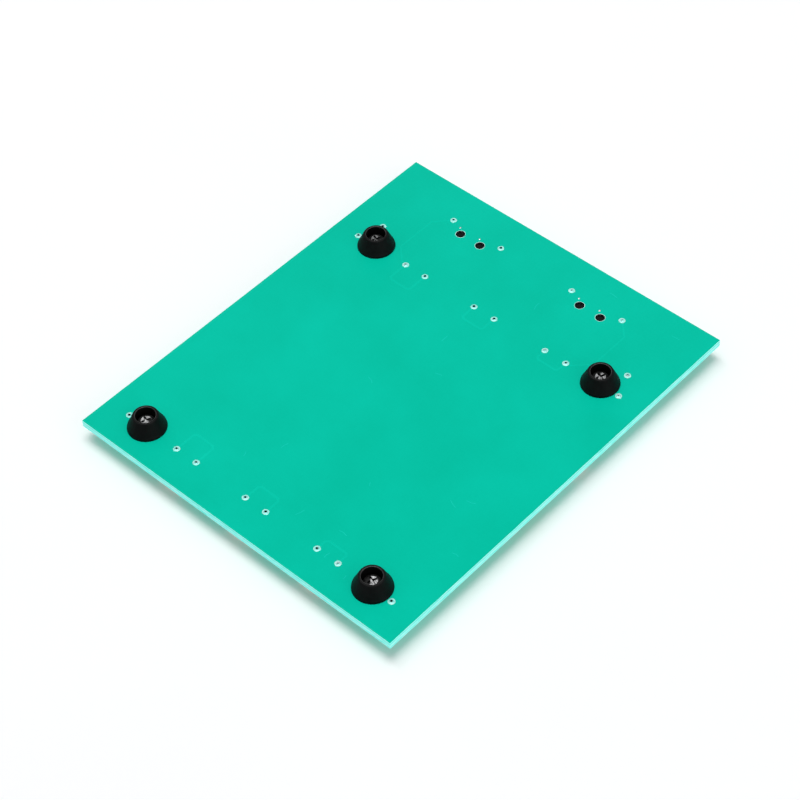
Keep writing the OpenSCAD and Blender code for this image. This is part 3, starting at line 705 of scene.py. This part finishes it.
def driver_routes(side, node):
    """Routes from a motor driver to the microcontroller, its motor socket and two diodes."""
    routes = []
    middle_x = centre_of(node).x
    feet = sorted(lead_feet(node), key=lambda f: f[1])
    inner = [f for f in feet if (f[0] - middle_x) * side < 0]
    outer = [f for f in feet if (f[0] - middle_x) * side > 0]
    for i, (start, end) in enumerate(zip(mcu_side(side, 0)[5:15], inner)):
        routes.append((dogleg(start, end, side * (14.6 - 0.48 * i) * MM), TRACK_W))
    for i, start in enumerate(outer[4:6]):
        end = (side * MOTOR_X * MM, (MOTOR_Y + i) * MM)
        routes.append((dogleg(start, end, side * (28.8 + 0.9 * i) * MM), MOTOR_W))
    for start, lead_x in ((outer[9], LEAD_X[2]), (inner[9], LEAD_X[1])):
        x = side * lead_x * MM
        turn_y = start[1] + CORNER_CUT
        far_y = turn_y + abs(x - start[0])
        routes.append(([start, (start[0], turn_y), (x, far_y), (x, REAR_ROW_Y * MM)], MOTOR_W))
    return routes


def servo_routes():
    """Routes from the microcontroller's front to the servo sockets' pins, which fan out from the middle."""
    routes = []
    pins = [(x + (k - 1)) * MM for x in SERVO_X for k in range(3)]
    for i, (start, x) in enumerate(zip(mcu_side(0, -1)[3:12], pins)):
        low_y = (-33.2 - 0.42 * (4 - abs(i - 4))) * MM
        turn = math.copysign(min(1.5 * MM, abs(x - start[0]) / 2), x - start[0])
        routes.append(([
            start, (start[0], low_y + abs(turn)), (start[0] + turn, low_y),
            (x - turn, low_y), (x, low_y - abs(turn)), (x, SERVO_Y * MM),
        ], TRACK_W))
    return routes


def rear_routes(sign):
    """Routes from the USB socket and a large button to the microcontroller's rear."""
    usb = mirrored(
        sign, (0.25, 38.6), (0.25, 22.0), (4.4, 17.8), (4.4, 1.5), (1.25, -1.6), (1.25, -3.4)
    )
    button = mirrored(
        sign, (9.04, BUTTON_Y), (7.4, 37.0), (7.4, 26.5), (5.4, 24.2), (5.4, 1.6), (2.25, -1.55), (2.25, -3.4)
    )
    return [(usb, TRACK_W), (button, TRACK_W)]


def power_routes(sign):
    """Wide routes from a battery post to a motor driver, and from there to the front row of diodes."""
    supply = mirrored(sign, (POST_X, POST_Y), (37.7, 21.4), (37.7, 1.9), (31.6, -4.2))
    ground = mirrored(sign, (31.6, -11.0), (31.6, -31.5), (LEAD_X[2], -33.0), (LEAD_X[2], FRONT_ROW_Y))
    return [(supply, POWER_W), (ground, POWER_W)]


VIA_R = 0.32 * MM


def make_tracks():
    """Copper under the mask of the component face, as raised strips, with tented vias."""
    routes = driver_routes(-1, "left_driver_leads") + driver_routes(1, "right_driver_leads")
    routes += servo_routes() + rear_routes(-1) + rear_routes(1) + power_routes(-1) + power_routes(1)
    bm = bmesh.new()
    for points, width in routes:
        add_strip(bm, points, width, TOP_Z, RAISED)
    vias = [(x, y) for x in (-10.5, -3.5, 3.5, 10.5) for y in (-21.5, -19.6)]
    vias += [(sign * (28.2 + 1.3 * i), -1.2) for sign in (-1, 1) for i in range(3)]
    vias += [(x, 28.2) for x in (-22, -11, 11, 22)]
    for x, y in vias:
        add_dome(bm, Vector((x * MM, y * MM, TOP_Z)), VIA_R, RAISED)
    finished("tracks_top", bm, ["mask_over_copper"])


INK_W = 0.16 * MM
INK_H = 0.014 * MM
INK_DOT_R = 0.28 * MM
DIODE_INK_HALF = (5.0 * MM, 1.7 * MM)
BRACKET_ARM = 1.4 * MM
BRACKET_MARGINS_MM = {
    "microcontroller_leads": 0.5, "left_button_cover": 0.4, "right_button_cover": 0.4,
    "inductor_core": 0.5, "reset_button_cover": 1.1, "regulator_body": 0.0,
}


def make_ink():
    """Plain printed outlines round the parts. There is no lettering."""
    bm = bmesh.new()

    def line(*points, width=INK_W):
        add_strip(bm, points, width, TOP_Z, INK_H)

    for diode in DIODES:
        middle = centre_of(diode)
        half_x, half_y = DIODE_INK_HALF
        corners = [(middle.x + sx * half_x, middle.y + sy * half_y)
                   for sx, sy in ((-1, -1), (1, -1), (1, 1), (-1, 1))]
        for k in range(4):
            line(corners[k], corners[(k + 1) % 4])
        mark_x = middle.x + half_x - 0.7 * MM
        line((mark_x, middle.y - half_y), (mark_x, middle.y + half_y), width=2 * INK_W)
    for node, margin_mm in BRACKET_MARGINS_MM.items():
        low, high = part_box(node)
        middle, half = (low + high) / 2, (high - low) / 2
        for sx in (-1, 1):
            for sy in (-1, 1):
                x = middle.x + sx * (half.x + margin_mm * MM)
                y = middle.y + sy * (half.y + margin_mm * MM)
                line((x - sx * BRACKET_ARM, y), (x, y), (x, y - sy * BRACKET_ARM))
    dots = [(MCU.x - 6.9 * MM, MCU.y - 4.4 * MM)]
    for node in ("left_driver_leads", "right_driver_leads"):
        low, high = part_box(node)
        for y in (low.y - 0.8 * MM, high.y + 0.8 * MM):
            line((low.x + 1.2 * MM, y), (high.x - 1.2 * MM, y))
        dots.append((low.x + 0.2 * MM, low.y - 0.9 * MM))
    for x, y in dots:
        add_dome(bm, Vector((x, y, TOP_Z)), INK_DOT_R, INK_H)
    finished("printed_outlines", bm, ["ink"])


def make_under_tracks():
    """Faint tracks under the mask on the underside."""
    bm = bmesh.new()
    for row_y, sign in ((REAR_ROW_Y, -1), (FRONT_ROW_Y, 1)):
        for i in range(3):
            x0 = LEAD_X[0] + LEAD_PITCH * i
            x1 = x0 + 5.08
            y = row_y + sign * (2.6 + 1.1 * i)
            near_y = y - sign * 0.5
            points = mirrored(
                1, (x0, row_y), (x0, near_y), (x0 + 0.5, y), (x1 - 0.5, y), (x1, near_y), (x1, row_y)
            )
            add_strip(bm, points, UNDER_BUS_W, UNDER_Z, -UNDER_RAISED)
    for sign in (-1, 1):
        points = mirrored(sign, (21.44, BUTTON_Y), (24.5, 35.4), (24.5, 26.0), (21.2, REAR_ROW_Y))
        add_strip(bm, points, UNDER_BUTTON_W, UNDER_Z, -UNDER_RAISED)
    finished("tracks_under", bm, ["mask_faint"])


make_tracks()
make_ink()
make_under_tracks()
make_scuffs()


# ---------- feet, screws and inserts ----------

FOOT_TIP_R, FOOT_RECESS_R, FOOT_BORE_R = 2.4, 1.9, 1.05
FOOT_SEAT_Z = 2.45
FOOT_STEPS = 96
DENTS_PER_METRE = 420
DENT = 0.018 * MM
DENT_MARGIN = 0.3 * MM
# Height and reach of the ring round the recess rim that is painted lighter as a highlight.
RIM_HIGHLIGHT_Z = 0.13 * MM
RIM_HIGHLIGHT_R = (FOOT_RECESS_R + 0.17) * MM


def make_foot(node):
    """Moulded rubber foot with rounded rims, a glossier ring round the rim of its recess whose lighter tone
    is a painted highlight, and a faint step where its mould closed.
    """
    low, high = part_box(node)
    centre = Vector(((low.x + high.x) / 2, (low.y + high.y) / 2, 0))
    base_r = (high.x - low.x) / 2 / MM
    height = (high.z - low.z) / MM
    profile = rounded_profile([
        (FOOT_BORE_R, height, 0), (FOOT_BORE_R, FOOT_SEAT_Z, 0.08), (FOOT_RECESS_R, FOOT_SEAT_Z, 0.18),
        (FOOT_RECESS_R + 0.04, 0.0, 0.16), (FOOT_TIP_R, 0.0, 0.22), (base_r - 0.18, height - 0.62, 0.1),
        (base_r - 0.08, height - 0.5, 0.1), (base_r, height - 0.12, 0.12), (base_r, height, 0),
    ])
    bm = bmesh.new()
    rings = lathe(bm, profile, centre, FOOT_STEPS)
    bridge(bm, rings[-1], rings[0])
    for vert in bm.verts:
        outward = Vector((vert.co.x - centre.x, vert.co.y - centre.y, 0)).normalized()
        if DENT_MARGIN < vert.co.z < height * MM - DENT_MARGIN:
            vert.co += outward * noise.noise(vert.co * DENTS_PER_METRE) * DENT
    # Faces round the recess rim take the lighter rubber: a painted highlight.
    for face in bm.faces:
        middle = face.calc_center_median()
        if middle.z < RIM_HIGHLIGHT_Z and (middle.xy - centre.xy).length < RIM_HIGHLIGHT_R:
            face.material_index = 1
    finished(node + "_rubber", bm, ["rubber", "rubber_painted_rim_highlight"], replaces=[node], angle=50)


for foot in ("foot_front_left", "foot_front_right", "foot_rear_left", "foot_rear_right"):
    make_foot(foot)

SCREW_GLINT_R = 0.62 * MM
SCREW_CROWN_Z = 2.2 * MM
SCREWS = [middle_of(group) for group in solids_of("foot_screws")]


def paint_screw(face):
    """Bright metal on the crown and in the cross recess, a painted highlight the size of the head's glint;
    near-black metal elsewhere.
    """
    centre = face.calc_center_median()
    reach = min(math.hypot(centre.x - screw.x, centre.y - screw.y) for screw in SCREWS)
    return 0 if reach < SCREW_GLINT_R and centre.z < SCREW_CROWN_Z else 1


# The bright crown of each screw head is a painted highlight; the rest of the head is near black.
refine("foot_screws", 0.05, "screw_steel_painted_glint", "near_black_screw_steel", paint=paint_screw)
refine("foot_inserts", 0.06, "brass")


# ---------- solder ----------

def add_fillet(bm, centre, z, lead_r, reach, height, seed, steps=36, rings=7):
    """Concave solder fillet with an uneven foot. height is negative on the underside."""
    columns = []
    for i in range(steps):
        angle = 2 * math.pi * i / steps
        direction = Vector((math.cos(angle), math.sin(angle), 0))
        swell = 1 + 0.12 * noise.noise(direction * 1.1 + Vector((seed, 0, 0)))
        tall = height * (1 + 0.3 * noise.noise(direction * 0.8 + Vector((0, seed, 0))))
        column = []
        for k in range(rings + 1):
            t = k / rings
            r = lead_r + (reach * swell - lead_r) * t
            rise = Vector((0, 0, z - centre.z + tall * (1 - t) ** 1.7))
            column.append(bm.verts.new(centre + direction * r + rise))
        columns.append(column)
    for i in range(steps):
        for k in range(rings):
            j = (i + 1) % steps
            bm.faces.new((columns[i][k], columns[i][k + 1], columns[j][k + 1], columns[j][k]))
    rim_in = [c[0] for c in columns]
    rim_out = [c[-1] for c in columns]
    inner = [bm.verts.new(Vector((v.co.x, v.co.y, z))) for v in rim_in]
    bridge(bm, rim_in, inner)
    bridge(bm, inner, rim_out)


LEAD_TIP = 0.122 * MM
LEAD_TIP_CROWN = 0.015 * MM
UNDER_FILLET = 0.16 * MM


def make_solder_joints():
    """Fillets on the underside round recessed lead ends, some with a splash beside them. The fillets are a
    teal, lighter copy of solder, a painted reflection of the board, and the lead ends are near black, painted
    shade in each fillet's opening.
    """
    bm, ends = bmesh.new(), bmesh.new()
    for n, centre in enumerate(THROUGH_LEADS):
        shift = Vector((random.uniform(-0.05, 0.05), random.uniform(-0.05, 0.05), 0)) * MM
        open_r = random.choice((0.12, 0.22, 0.25, 0.28)) * MM
        reach = random.uniform(0.6, 0.66) * MM
        add_fillet(bm, centre + shift, UNDER_Z, open_r, reach, -UNDER_FILLET, 3.7 * n)
        tip = Vector((centre.x + shift.x, centre.y + shift.y, UNDER_Z - LEAD_TIP))
        # Near-black disc at the lead's end: painted shade in the fillet's opening.
        add_dome(ends, tip, open_r + 0.02 * MM, -LEAD_TIP_CROWN)
        for _ in range(random.choice((0, 0, 1, 1))):
            angle = random.uniform(0, 2 * math.pi)
            spot = centre + Vector((math.cos(angle), math.sin(angle), 0)) * random.uniform(0.45, 0.6) * MM
            radius = random.uniform(0.14, 0.26) * MM
            add_dome(bm, Vector((spot.x, spot.y, UNDER_Z)), radius, -0.4 * radius)
    # The underside fillets take a teal, lighter copy of solder: a painted reflection of the board.
    finished("solder_joints_finish", bm, ["solder_under_painted_teal_reflection"], replaces=["solder_joints"])
    finished("lead_ends", ends, ["lead_end_painted_shade"])


def make_top_solder():
    """Small fillets where the round leads enter the component face."""
    bm = bmesh.new()
    for n, centre in enumerate(THROUGH_LEADS):
        add_fillet(bm, centre, TOP_Z, 0.34 * MM, 0.74 * MM, 0.12 * MM, 5.1 * n, steps=28, rings=4)
    finished("solder_top", bm, ["solder"])


PILLOW_CELLS = 6
LOW_PILLOW_H = 0.06 * MM
CHIP_PILLOW_H = 0.16 * MM
CHIP_PILLOW_REACH = 0.32 * MM


def add_pillow(bm, low_x, low_y, high_x, high_y, height):
    """Rounded mound of solder over a rectangle on the component face."""
    cells = range(PILLOW_CELLS)
    grid = []
    for i in range(PILLOW_CELLS + 1):
        x, across = low_x + (high_x - low_x) * i / PILLOW_CELLS, 2 * i / PILLOW_CELLS - 1
        row = []
        for k in range(PILLOW_CELLS + 1):
            y, along = low_y + (high_y - low_y) * k / PILLOW_CELLS, 2 * k / PILLOW_CELLS - 1
            row.append(bm.verts.new((x, y, TOP_Z + height * (1 - across ** 4) * (1 - along ** 4))))
        grid.append(row)
    for i in cells:
        for k in cells:
            bm.faces.new((grid[i][k], grid[i + 1][k], grid[i + 1][k + 1], grid[i][k + 1]))
    rim = [grid[i][0] for i in cells] + grid[-1][:-1]
    rim += [grid[i][-1] for i in range(PILLOW_CELLS, 0, -1)] + grid[0][:0:-1]
    bm.faces.new(rim)


PADDED_NODES = (
    "microcontroller_leads", "left_driver_leads", "right_driver_leads", "regulator_leads", "socket_contacts",
    "reset_button_terminals", "capacitor_terminals", "usb_contacts", "power_switch_terminals",
)


def make_surface_solder():
    """Solder under the feet of the surface-mounted parts."""
    bm = bmesh.new()
    for node in PADDED_NODES:
        for group in solids_of(node):
            touching = [p for p in group if p.z < TOP_Z + LEAD_FOOT_H]
            if not touching:
                continue
            low, high = box_of(touching)
            grow = min(0.16 * MM, 0.35 * min(high.x - low.x, high.y - low.y) + 0.06 * MM)
            add_pillow(bm, low.x - grow, low.y - grow, high.x + grow, high.y + grow, LOW_PILLOW_H)
    for node in ("chip_resistors", "chip_capacitors", "status_lights"):
        for group in solids_of(node):
            low, high = box_of(group)
            middle, half = (low + high) / 2, (high - low) / 2
            along = 0 if half.x > half.y else 1
            reach = half * 1.05
            reach[along] = CHIP_PILLOW_REACH
            for sign in (-1, 1):
                end = middle.copy()
                end[along] += sign * half[along]
                a, b = end - reach, end + reach
                add_pillow(bm, a.x, a.y, b.x, b.y, CHIP_PILLOW_H)
    finished("solder_surface", bm, ["solder"])


make_solder_joints()
make_top_solder()
make_surface_solder()


# ---------- diodes and battery posts ----------

ROD_STEPS = 14


def sweep(bm, path, radius):
    """Round rod of one radius along a path."""
    rings = []
    for i, point in enumerate(path):
        ahead = path[min(i + 1, len(path) - 1)]
        behind = path[max(i - 1, 0)]
        along = (ahead - behind).normalized()
        side = along.cross(Vector((0, 1, 0)))
        side = side.normalized() if side.length > 0.1 else Vector((1, 0, 0))
        other = along.cross(side)
        rings.append([
            bm.verts.new(point + radius * (math.cos(a) * side + math.sin(a) * other))
            for a in (2 * math.pi * k / ROD_STEPS for k in range(ROD_STEPS))
        ])
    add_rod(bm, rings)


def lathe_along_x(bm, profile, centre, steps=48):
    """Surface of revolution round the X line through centre. profile is (x from the centre, radius)."""
    for vert in sum(lathe(bm, [(r, x) for x, r in profile], Vector(), steps), []):
        x, y, z = vert.co
        vert.co = centre + Vector((z, x, y))


DIODE_HALF = 2.4 * MM
DIODE_R = 1.25 * MM
LEAD_R = 0.35 * MM
BEND_R = 0.8 * MM
BEND_STEPS = 8
LEAD_CUT = 0.1 * MM
SHOULDER = [(2.14, 1.235, 0.16), (2.3, 1.0, 0.1), (2.4, 0.86, 0.12), (2.4, 0.0, 0)]
BAND = [(1.02, 1.225), (1.06, 1.25), (1.74, 1.25), (1.78, 1.225), (1.74, 1.2), (1.06, 1.2), (1.02, 1.225)]
COLLAR = [(2.34, 0.62), (2.44, 0.56), (2.54, 0.42), (2.6, 0.36)]


def make_diode(node, body_x):
    """Moulded body with soft shoulders, a silver band at its right end, and a lead from each end."""
    low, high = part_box(node)
    axis_z = high.z - DIODE_R
    middle = Vector((body_x, (low.y + high.y) / 2, axis_z))
    left = [(-x, r, fillet) for x, r, fillet in reversed(SHOULDER)]
    soft = rounded_profile([*left, (0.0, DIODE_R / MM, 0), *SHOULDER], steps=4)
    bm = bmesh.new()
    lathe_along_x(bm, soft, middle)
    for vert in bm.verts:
        away = vert.co - middle
        if abs(away.x) < DIODE_HALF * 0.85:
            flow = 1 - 0.012 * (1 + noise.noise(vert.co * 900))
            vert.co.y = middle.y + away.y * flow
            vert.co.z = middle.z + away.z * flow
    finished(node + "_body", bm, ["diode"], replaces=[node])
    bm = bmesh.new()
    lathe_along_x(bm, [(x * MM, r * MM) for x, r in BAND], middle)
    bmesh.ops.remove_doubles(bm, verts=bm.verts, dist=WELD)
    finished(node + "_band", bm, ["band"])
    bm = bmesh.new()
    for end_x, sign in ((low.x, -1), (high.x, 1)):
        lead_x = end_x - sign * LEAD_R
        start = Vector((body_x + sign * DIODE_HALF * 0.95, middle.y, axis_z))
        bend = Vector((lead_x - sign * BEND_R, middle.y, axis_z - BEND_R))
        turns = [math.pi / 2 * i / BEND_STEPS for i in range(BEND_STEPS + 1)]
        arc = [bend + BEND_R * Vector((sign * math.sin(a), 0, math.cos(a))) for a in turns]
        sweep(bm, [start, *arc, Vector((lead_x, middle.y, UNDER_Z - LEAD_CUT))], LEAD_R * 0.99)
        lathe_along_x(bm, [(sign * x * MM, r * MM) for x, r in COLLAR], middle, 24)
    finished(node + "_leads", bm, ["tin"])


for diode in DIODES:
    crown_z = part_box(diode)[1].z - 0.1 * MM
    crown = [v.co.x for v in frame["nodes"][diode].data.vertices if v.co.z > crown_z]
    make_diode(diode, (min(crown) + max(crown)) / 2)


def make_posts():
    """Turned posts for the battery wires, each in a skirt of solder."""
    refine("battery_posts", 0.06, "tin")
    bm = bmesh.new()
    for group in solids_of("battery_posts"):
        middle = middle_of(group)
        add_fillet(bm, Vector((middle.x, middle.y, 0)), TOP_Z, 1.38 * MM, 2.0 * MM, 0.3 * MM, middle.x * 900,
                   steps=48, rings=6)
    finished("post_solder", bm, ["solder"])


make_posts()


# ---------- buttons ----------

CAP_STEPS = 72


def make_cap(node, material, cap_r, nub, flange_h, dish, crown):
    """Button cap turned from its own outline, with a dished top and a rounded rim. Sizes are in mm, nub is
    (radius, height) and flange_h is the height of the flange's top over the board."""
    low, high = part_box(node)
    flange_r = (high.x - low.x) / 2 / MM
    z0, z1 = low.z / MM, high.z / MM
    nub_r, nub_z = nub[0], z0 + nub[1]
    flange_z = TOP_Z / MM + flange_h
    profile = rounded_profile([
        (0, z0, 0), (nub_r, z0, 0.06), (nub_r, nub_z, 0.04), (flange_r, nub_z, 0.06),
        (flange_r, flange_z, 0.08), (cap_r, flange_z, 0.06), (cap_r - 0.01, z1, crown),
        (cap_r * 0.78, z1, 0.2), (cap_r * 0.66, z1 - dish * 0.7, 0.3), (cap_r * 0.3, z1 - dish, 0.3),
        (0, z1 - dish, 0),
    ])
    bm = bmesh.new()
    lathe(bm, profile, centre_of(node), CAP_STEPS)
    finished(node + "_finish", bm, [material], BODY_OF[node], [node])


def make_dome(node):
    """Spring dome under the cap, its larger faces cut into triangles, on a mesh of its own."""
    bm = welded(node)
    bmesh.ops.triangulate(bm, faces=[f for f in bm.faces if len(f.verts) > 4])
    piece = finished(node + "_finish", bm, ["steel"], BODY_OF[node], [node])
    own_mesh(piece)


def paint_button_base(face):
    """Glossier plastic above the board; the pegs in their holes take the duller, darker rubber, whose darker
    tone is painted shade.
    """
    return 1 if face.calc_center_median().z < TOP_Z - 0.1 * MM else 0


for side in ("left", "right"):
    # The pegs take the darker rubber material: painted shade inside their holes.
    refine(side + "_button_base", 0.09, "black_plastic", "rubber", paint=paint_button_base)
    refine(side + "_button_terminals", 0.04, "tin")
    refine(side + "_button_cover", 0.07, "steel")
    make_cap(side + "_button_cap", "black_plastic", 3.3, (1.2, 0.15), 1.95, dish=0.16, crown=0.32)
    make_dome(side + "_button_dome")
refine("reset_button_base", 0.05, "black_plastic")
refine("reset_button_terminals", 0.03, "tin")
refine("reset_button_cover", 0.05, "steel")
make_cap("reset_button_cap", "cream_nylon", 1.3, (0.6, 0.1), 1.17, dish=0.06, crown=0.16)
make_dome("reset_button_dome")


# ---------- chips, leads and power parts ----------

for chip in ("microcontroller", "left_driver", "right_driver", "regulator"):
    refine(chip + "_body", 0.07, "chip")
    refine(chip + "_leads", 0.03, "tin")


CRYSTAL_BASE_H = 0.34 * MM


def paint_crystal(face):
    """Ceramic base below, metal can above."""
    return 0 if face.calc_center_median().z < TOP_Z + CRYSTAL_BASE_H else 1


refine("crystal", 0.05, "capacitor", "steel", paint=paint_crystal)
refine("inductor_core", 0.12, "ferrite", segments=3)


WIRE_R = 0.16 * MM
WIRE_SIDES = 8
WIRE_LAYERS = 3
TURN_STEPS = 40


def make_winding():
    """Enamelled wire wound in layers round the inductor's centre post."""
    low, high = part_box("inductor_winding")
    middle = (low + high) / 2
    turns = int((high.z - low.z - 0.04 * MM) / (2 * WIRE_R)) - 0.5
    pitch = (high.z - low.z - 2 * WIRE_R) / turns
    bm = bmesh.new()
    for layer in range(WIRE_LAYERS):
        radius = (high.x - low.x) / 2 - WIRE_R - layer * 1.8 * WIRE_R
        rings = []
        for i in range(int(turns * TURN_STEPS) + 1):
            a = 2 * math.pi * i / TURN_STEPS + layer
            out = Vector((math.cos(a), math.sin(a), 0))
            height = low.z + WIRE_R + pitch * i / TURN_STEPS
            point = Vector((middle.x, middle.y, height)) + radius * out
            rings.append([
                bm.verts.new(point + WIRE_R * (math.cos(b) * out + Vector((0, 0, math.sin(b)))))
                for b in (2 * math.pi * k / WIRE_SIDES for k in range(WIRE_SIDES))
            ])
        add_rod(bm, rings)
    finished("inductor_winding_finish", bm, ["copper"],
             replaces=["inductor_winding"], angle=60)


make_winding()


STRIPE_START, STRIPE_W, STRIPE_MARGIN = 0.45 * MM, 0.9 * MM, 0.28 * MM
STRIPE_SINK = 0.005 * MM


def make_capacitors():
    """Moulded bodies, each with a darker stripe let into the top at its positive end."""
    refine("supply_capacitors", 0.12, "tantalum", segments=3)
    refine("capacitor_terminals", 0.03, "tin")
    bm = bmesh.new()
    for group in solids_of("supply_capacitors"):
        low, high = box_of(group)
        if high.x - low.x > high.y - low.y:
            x = low.x + STRIPE_START + STRIPE_W / 2
            points = [(x, low.y + STRIPE_MARGIN), (x, high.y - STRIPE_MARGIN)]
        else:
            y = low.y + STRIPE_START + STRIPE_W / 2
            points = [(low.x + STRIPE_MARGIN, y), (high.x - STRIPE_MARGIN, y)]
        add_strip(bm, points, STRIPE_W, high.z - STRIPE_SINK, 4 * STRIPE_SINK)
    finished("polarity_stripes", bm, ["stripe"])


make_capacitors()


# ---------- sockets, lights and small parts ----------

refine("usb_shell", 0.06, "steel")
refine("usb_tongue", 0.06, "black_plastic")
refine("usb_contacts", 0.02, "gold")
refine("servo_sockets", 0.08, "cream_nylon")
refine("motor_sockets", 0.08, "cream_nylon")
refine("socket_contacts", 0.03, "tin")


END_CAP = 0.3 * MM
LIGHT_BASE_H = 0.31 * MM


def paint_end_caps(node):
    """Returns a painter that tins the two ends of each small part in a node."""
    ends = [box_of(group) for group in solids_of(node)]

    def paint(face):
        centre = face.calc_center_median()
        for low, high in ends:
            if all(low[i] - WELD <= centre[i] <= high[i] + WELD for i in range(3)):
                axis = 0 if high.x - low.x > high.y - low.y else 1
                reach = min(centre[axis] - low[axis], high[axis] - centre[axis])
                return 1 if reach < END_CAP + WELD else 0
        return 0

    return paint


def paint_lights(face):
    """White base below, clear lens above."""
    return 1 if face.calc_center_median().z > TOP_Z + LIGHT_BASE_H else 0


refine("chip_resistors", 0.05, "resistor", "tin", paint=paint_end_caps("chip_resistors"))
refine("chip_capacitors", 0.06, "capacitor", "tin", paint=paint_end_caps("chip_capacitors"))
refine("status_lights", 0.05, "white_base", "lens", paint=paint_lights)


# ---------- power switch ----------

refine("power_switch_base", 0.04, "black_plastic")
refine("power_switch_terminals", 0.03, "tin")
refine("power_switch_frame", 0.06, "steel")
refine("power_switch_slider", 0.1, "black_plastic", segments=3)
refine("power_switch_wiper", 0.02, "brass")


# ---------- studio ----------

FLOOR_HALF = 1.6
FLOOR_GREY = 0.975
LOWER_FLOOR_Z = -0.02 * MM
UPPER_FLOOR_Z = CAD_BOX[1][2] + 0.05 * MM
SHADE_GREY = 0.02
SHADE_Z = UNDER_Z - 0.3 * MM
BACKDROP_R, BACKDROP_LOW, BACKDROP_HIGH = 1.5, -0.3, 1.0
BACKDROP_GREY = 0.84
WORLD_COLOUR = (0.95, 0.97, 1.0, 1)
WORLD_STRENGTH = 0.44

# Name, place in metres, size in metres and power in watts of each lamp.
LAMPS = (
    ("softbox_below", (0.08, 0.06, -1.5), 0.8, 11.6),
    ("key_below", (0.55, 0.10, -1.1), 0.25, 1.4),
    ("fill_below", (-1.0, -0.1, -0.5), 0.8, 1.6),
    ("softbox_above", (-0.5, -0.5, 1.3), 0.6, 10.0),
    ("fill_above", (0.7, 0.6, 1.0), 0.9, 3.0),
)


def greys_of(tree, value, grey, *stops):
    """Ramp through (position, share of grey) stops."""
    return ramp_of(tree, value, [(at, (grey * share,) * 3) for at, share in stops])


def one_sided(name, grey):
    """Matt material that shows only on the side that its face looks to."""
    material, tree, shader = node_tree(name)
    place = place_of(tree)
    cloud = sum_of(tree, noise_of(tree, place, 90.0, detail=2.0), noise_of(tree, place, 2.5), 0.2)
    colour = greys_of(tree, cloud, grey, (0.35, 1.0), (0.85, 1.015))
    set_inputs(shader, {"Base Color": colour, "Roughness": 0.95, "Specular IOR Level": 0.0})
    backfacing = tree.nodes.new("ShaderNodeNewGeometry").outputs["Backfacing"]
    mix = add_node(tree, "MixShader", {"Fac": backfacing})
    tree.links.new(shader.outputs["BSDF"], mix.inputs[1])
    tree.links.new(tree.nodes.new("ShaderNodeBsdfTransparent").outputs["BSDF"], mix.inputs[2])
    set_inputs(tree.nodes["Material Output"], {"Surface": mix.outputs["Shader"]})
    return material


def add_stage(name, mesh, material, passed_by):
    """Stage piece that the named kinds of ray pass by."""
    mesh.materials.append(material)
    thing = placed(name, mesh)
    for ray in passed_by:
        setattr(thing, "visible_" + ray, False)


def make_backdrop(name, grey):
    """Pale wall round the studio that shines evenly by itself and lights nothing."""
    material, tree, shader = node_tree(name)
    cloud = noise_of(tree, place_of(tree), 600.0, detail=2.0)
    set_inputs(shader, {
        "Emission Color": greys_of(tree, cloud, grey, (0.2, 1.0), (0.8, 1.02)),
        "Emission Strength": 1.0, "Base Color": (0, 0, 0, 1), "Specular IOR Level": 0.0,
    })
    bm = bmesh.new()
    lathe(bm, [(BACKDROP_R, BACKDROP_LOW), (BACKDROP_R, BACKDROP_HIGH)], Vector())
    mesh = bpy.data.meshes.new(name)
    bm.to_mesh(mesh)
    bm.free()
    add_stage(name, mesh, material, ("shadow", "glossy", "diffuse", "transmission"))


def make_sheet(name, half_x, half_y, z, faces_up, grey, passed_by):
    """One-sided sheet of the studio that looks up or down. It casts no shadow and isn't mirrored."""
    corners = [(-1, -1), (1, -1), (1, 1), (-1, 1)]
    if not faces_up:
        corners.reverse()
    mesh = bpy.data.meshes.new(name)
    mesh.from_pydata([(x * half_x, y * half_y, z) for x, y in corners], [], [(0, 1, 2, 3)])
    add_stage(name, mesh, one_sided(name, grey), ("shadow", "glossy", "transmission", passed_by))


def add_lamp(name, place, size, power):
    """Square area light that looks at the middle of the board's underside."""
    light = bpy.data.lights.new(name, "AREA")
    light.size = size
    light.energy = power
    lamp = placed(name, light)
    lamp.location = place
    lamp.rotation_euler = (Vector((0, 0, UNDER_Z)) - Vector(place)).to_track_quat("-Z", "Y").to_euler()


def make_world():
    """Pale even surroundings."""
    world = bpy.data.worlds.new("studio")
    world.use_nodes = True
    set_inputs(world.node_tree.nodes["Background"], {"Color": WORLD_COLOUR, "Strength": WORLD_STRENGTH})
    bpy.context.scene.world = world


make_backdrop("pale_backdrop", BACKDROP_GREY)
for floor, floor_z, looks_up in (("floor_below", LOWER_FLOOR_Z, True), ("floor_above", UPPER_FLOOR_Z, False)):
    make_sheet(floor, FLOOR_HALF, FLOOR_HALF, floor_z, looks_up, FLOOR_GREY, "diffuse")

# The lamps under the board light its underside, which would tint the lower floor. This dark sheet
# under the board keeps that bounce off the floor, and no camera sees it.
make_sheet("shade_under_board", BOARD_HIGH.x, BOARD_HIGH.y, SHADE_Z, False, SHADE_GREY, "camera")

for lamp_row in LAMPS:
    add_lamp(*lamp_row)
make_world()
bpy.context.scene.view_settings.view_transform = "Standard"
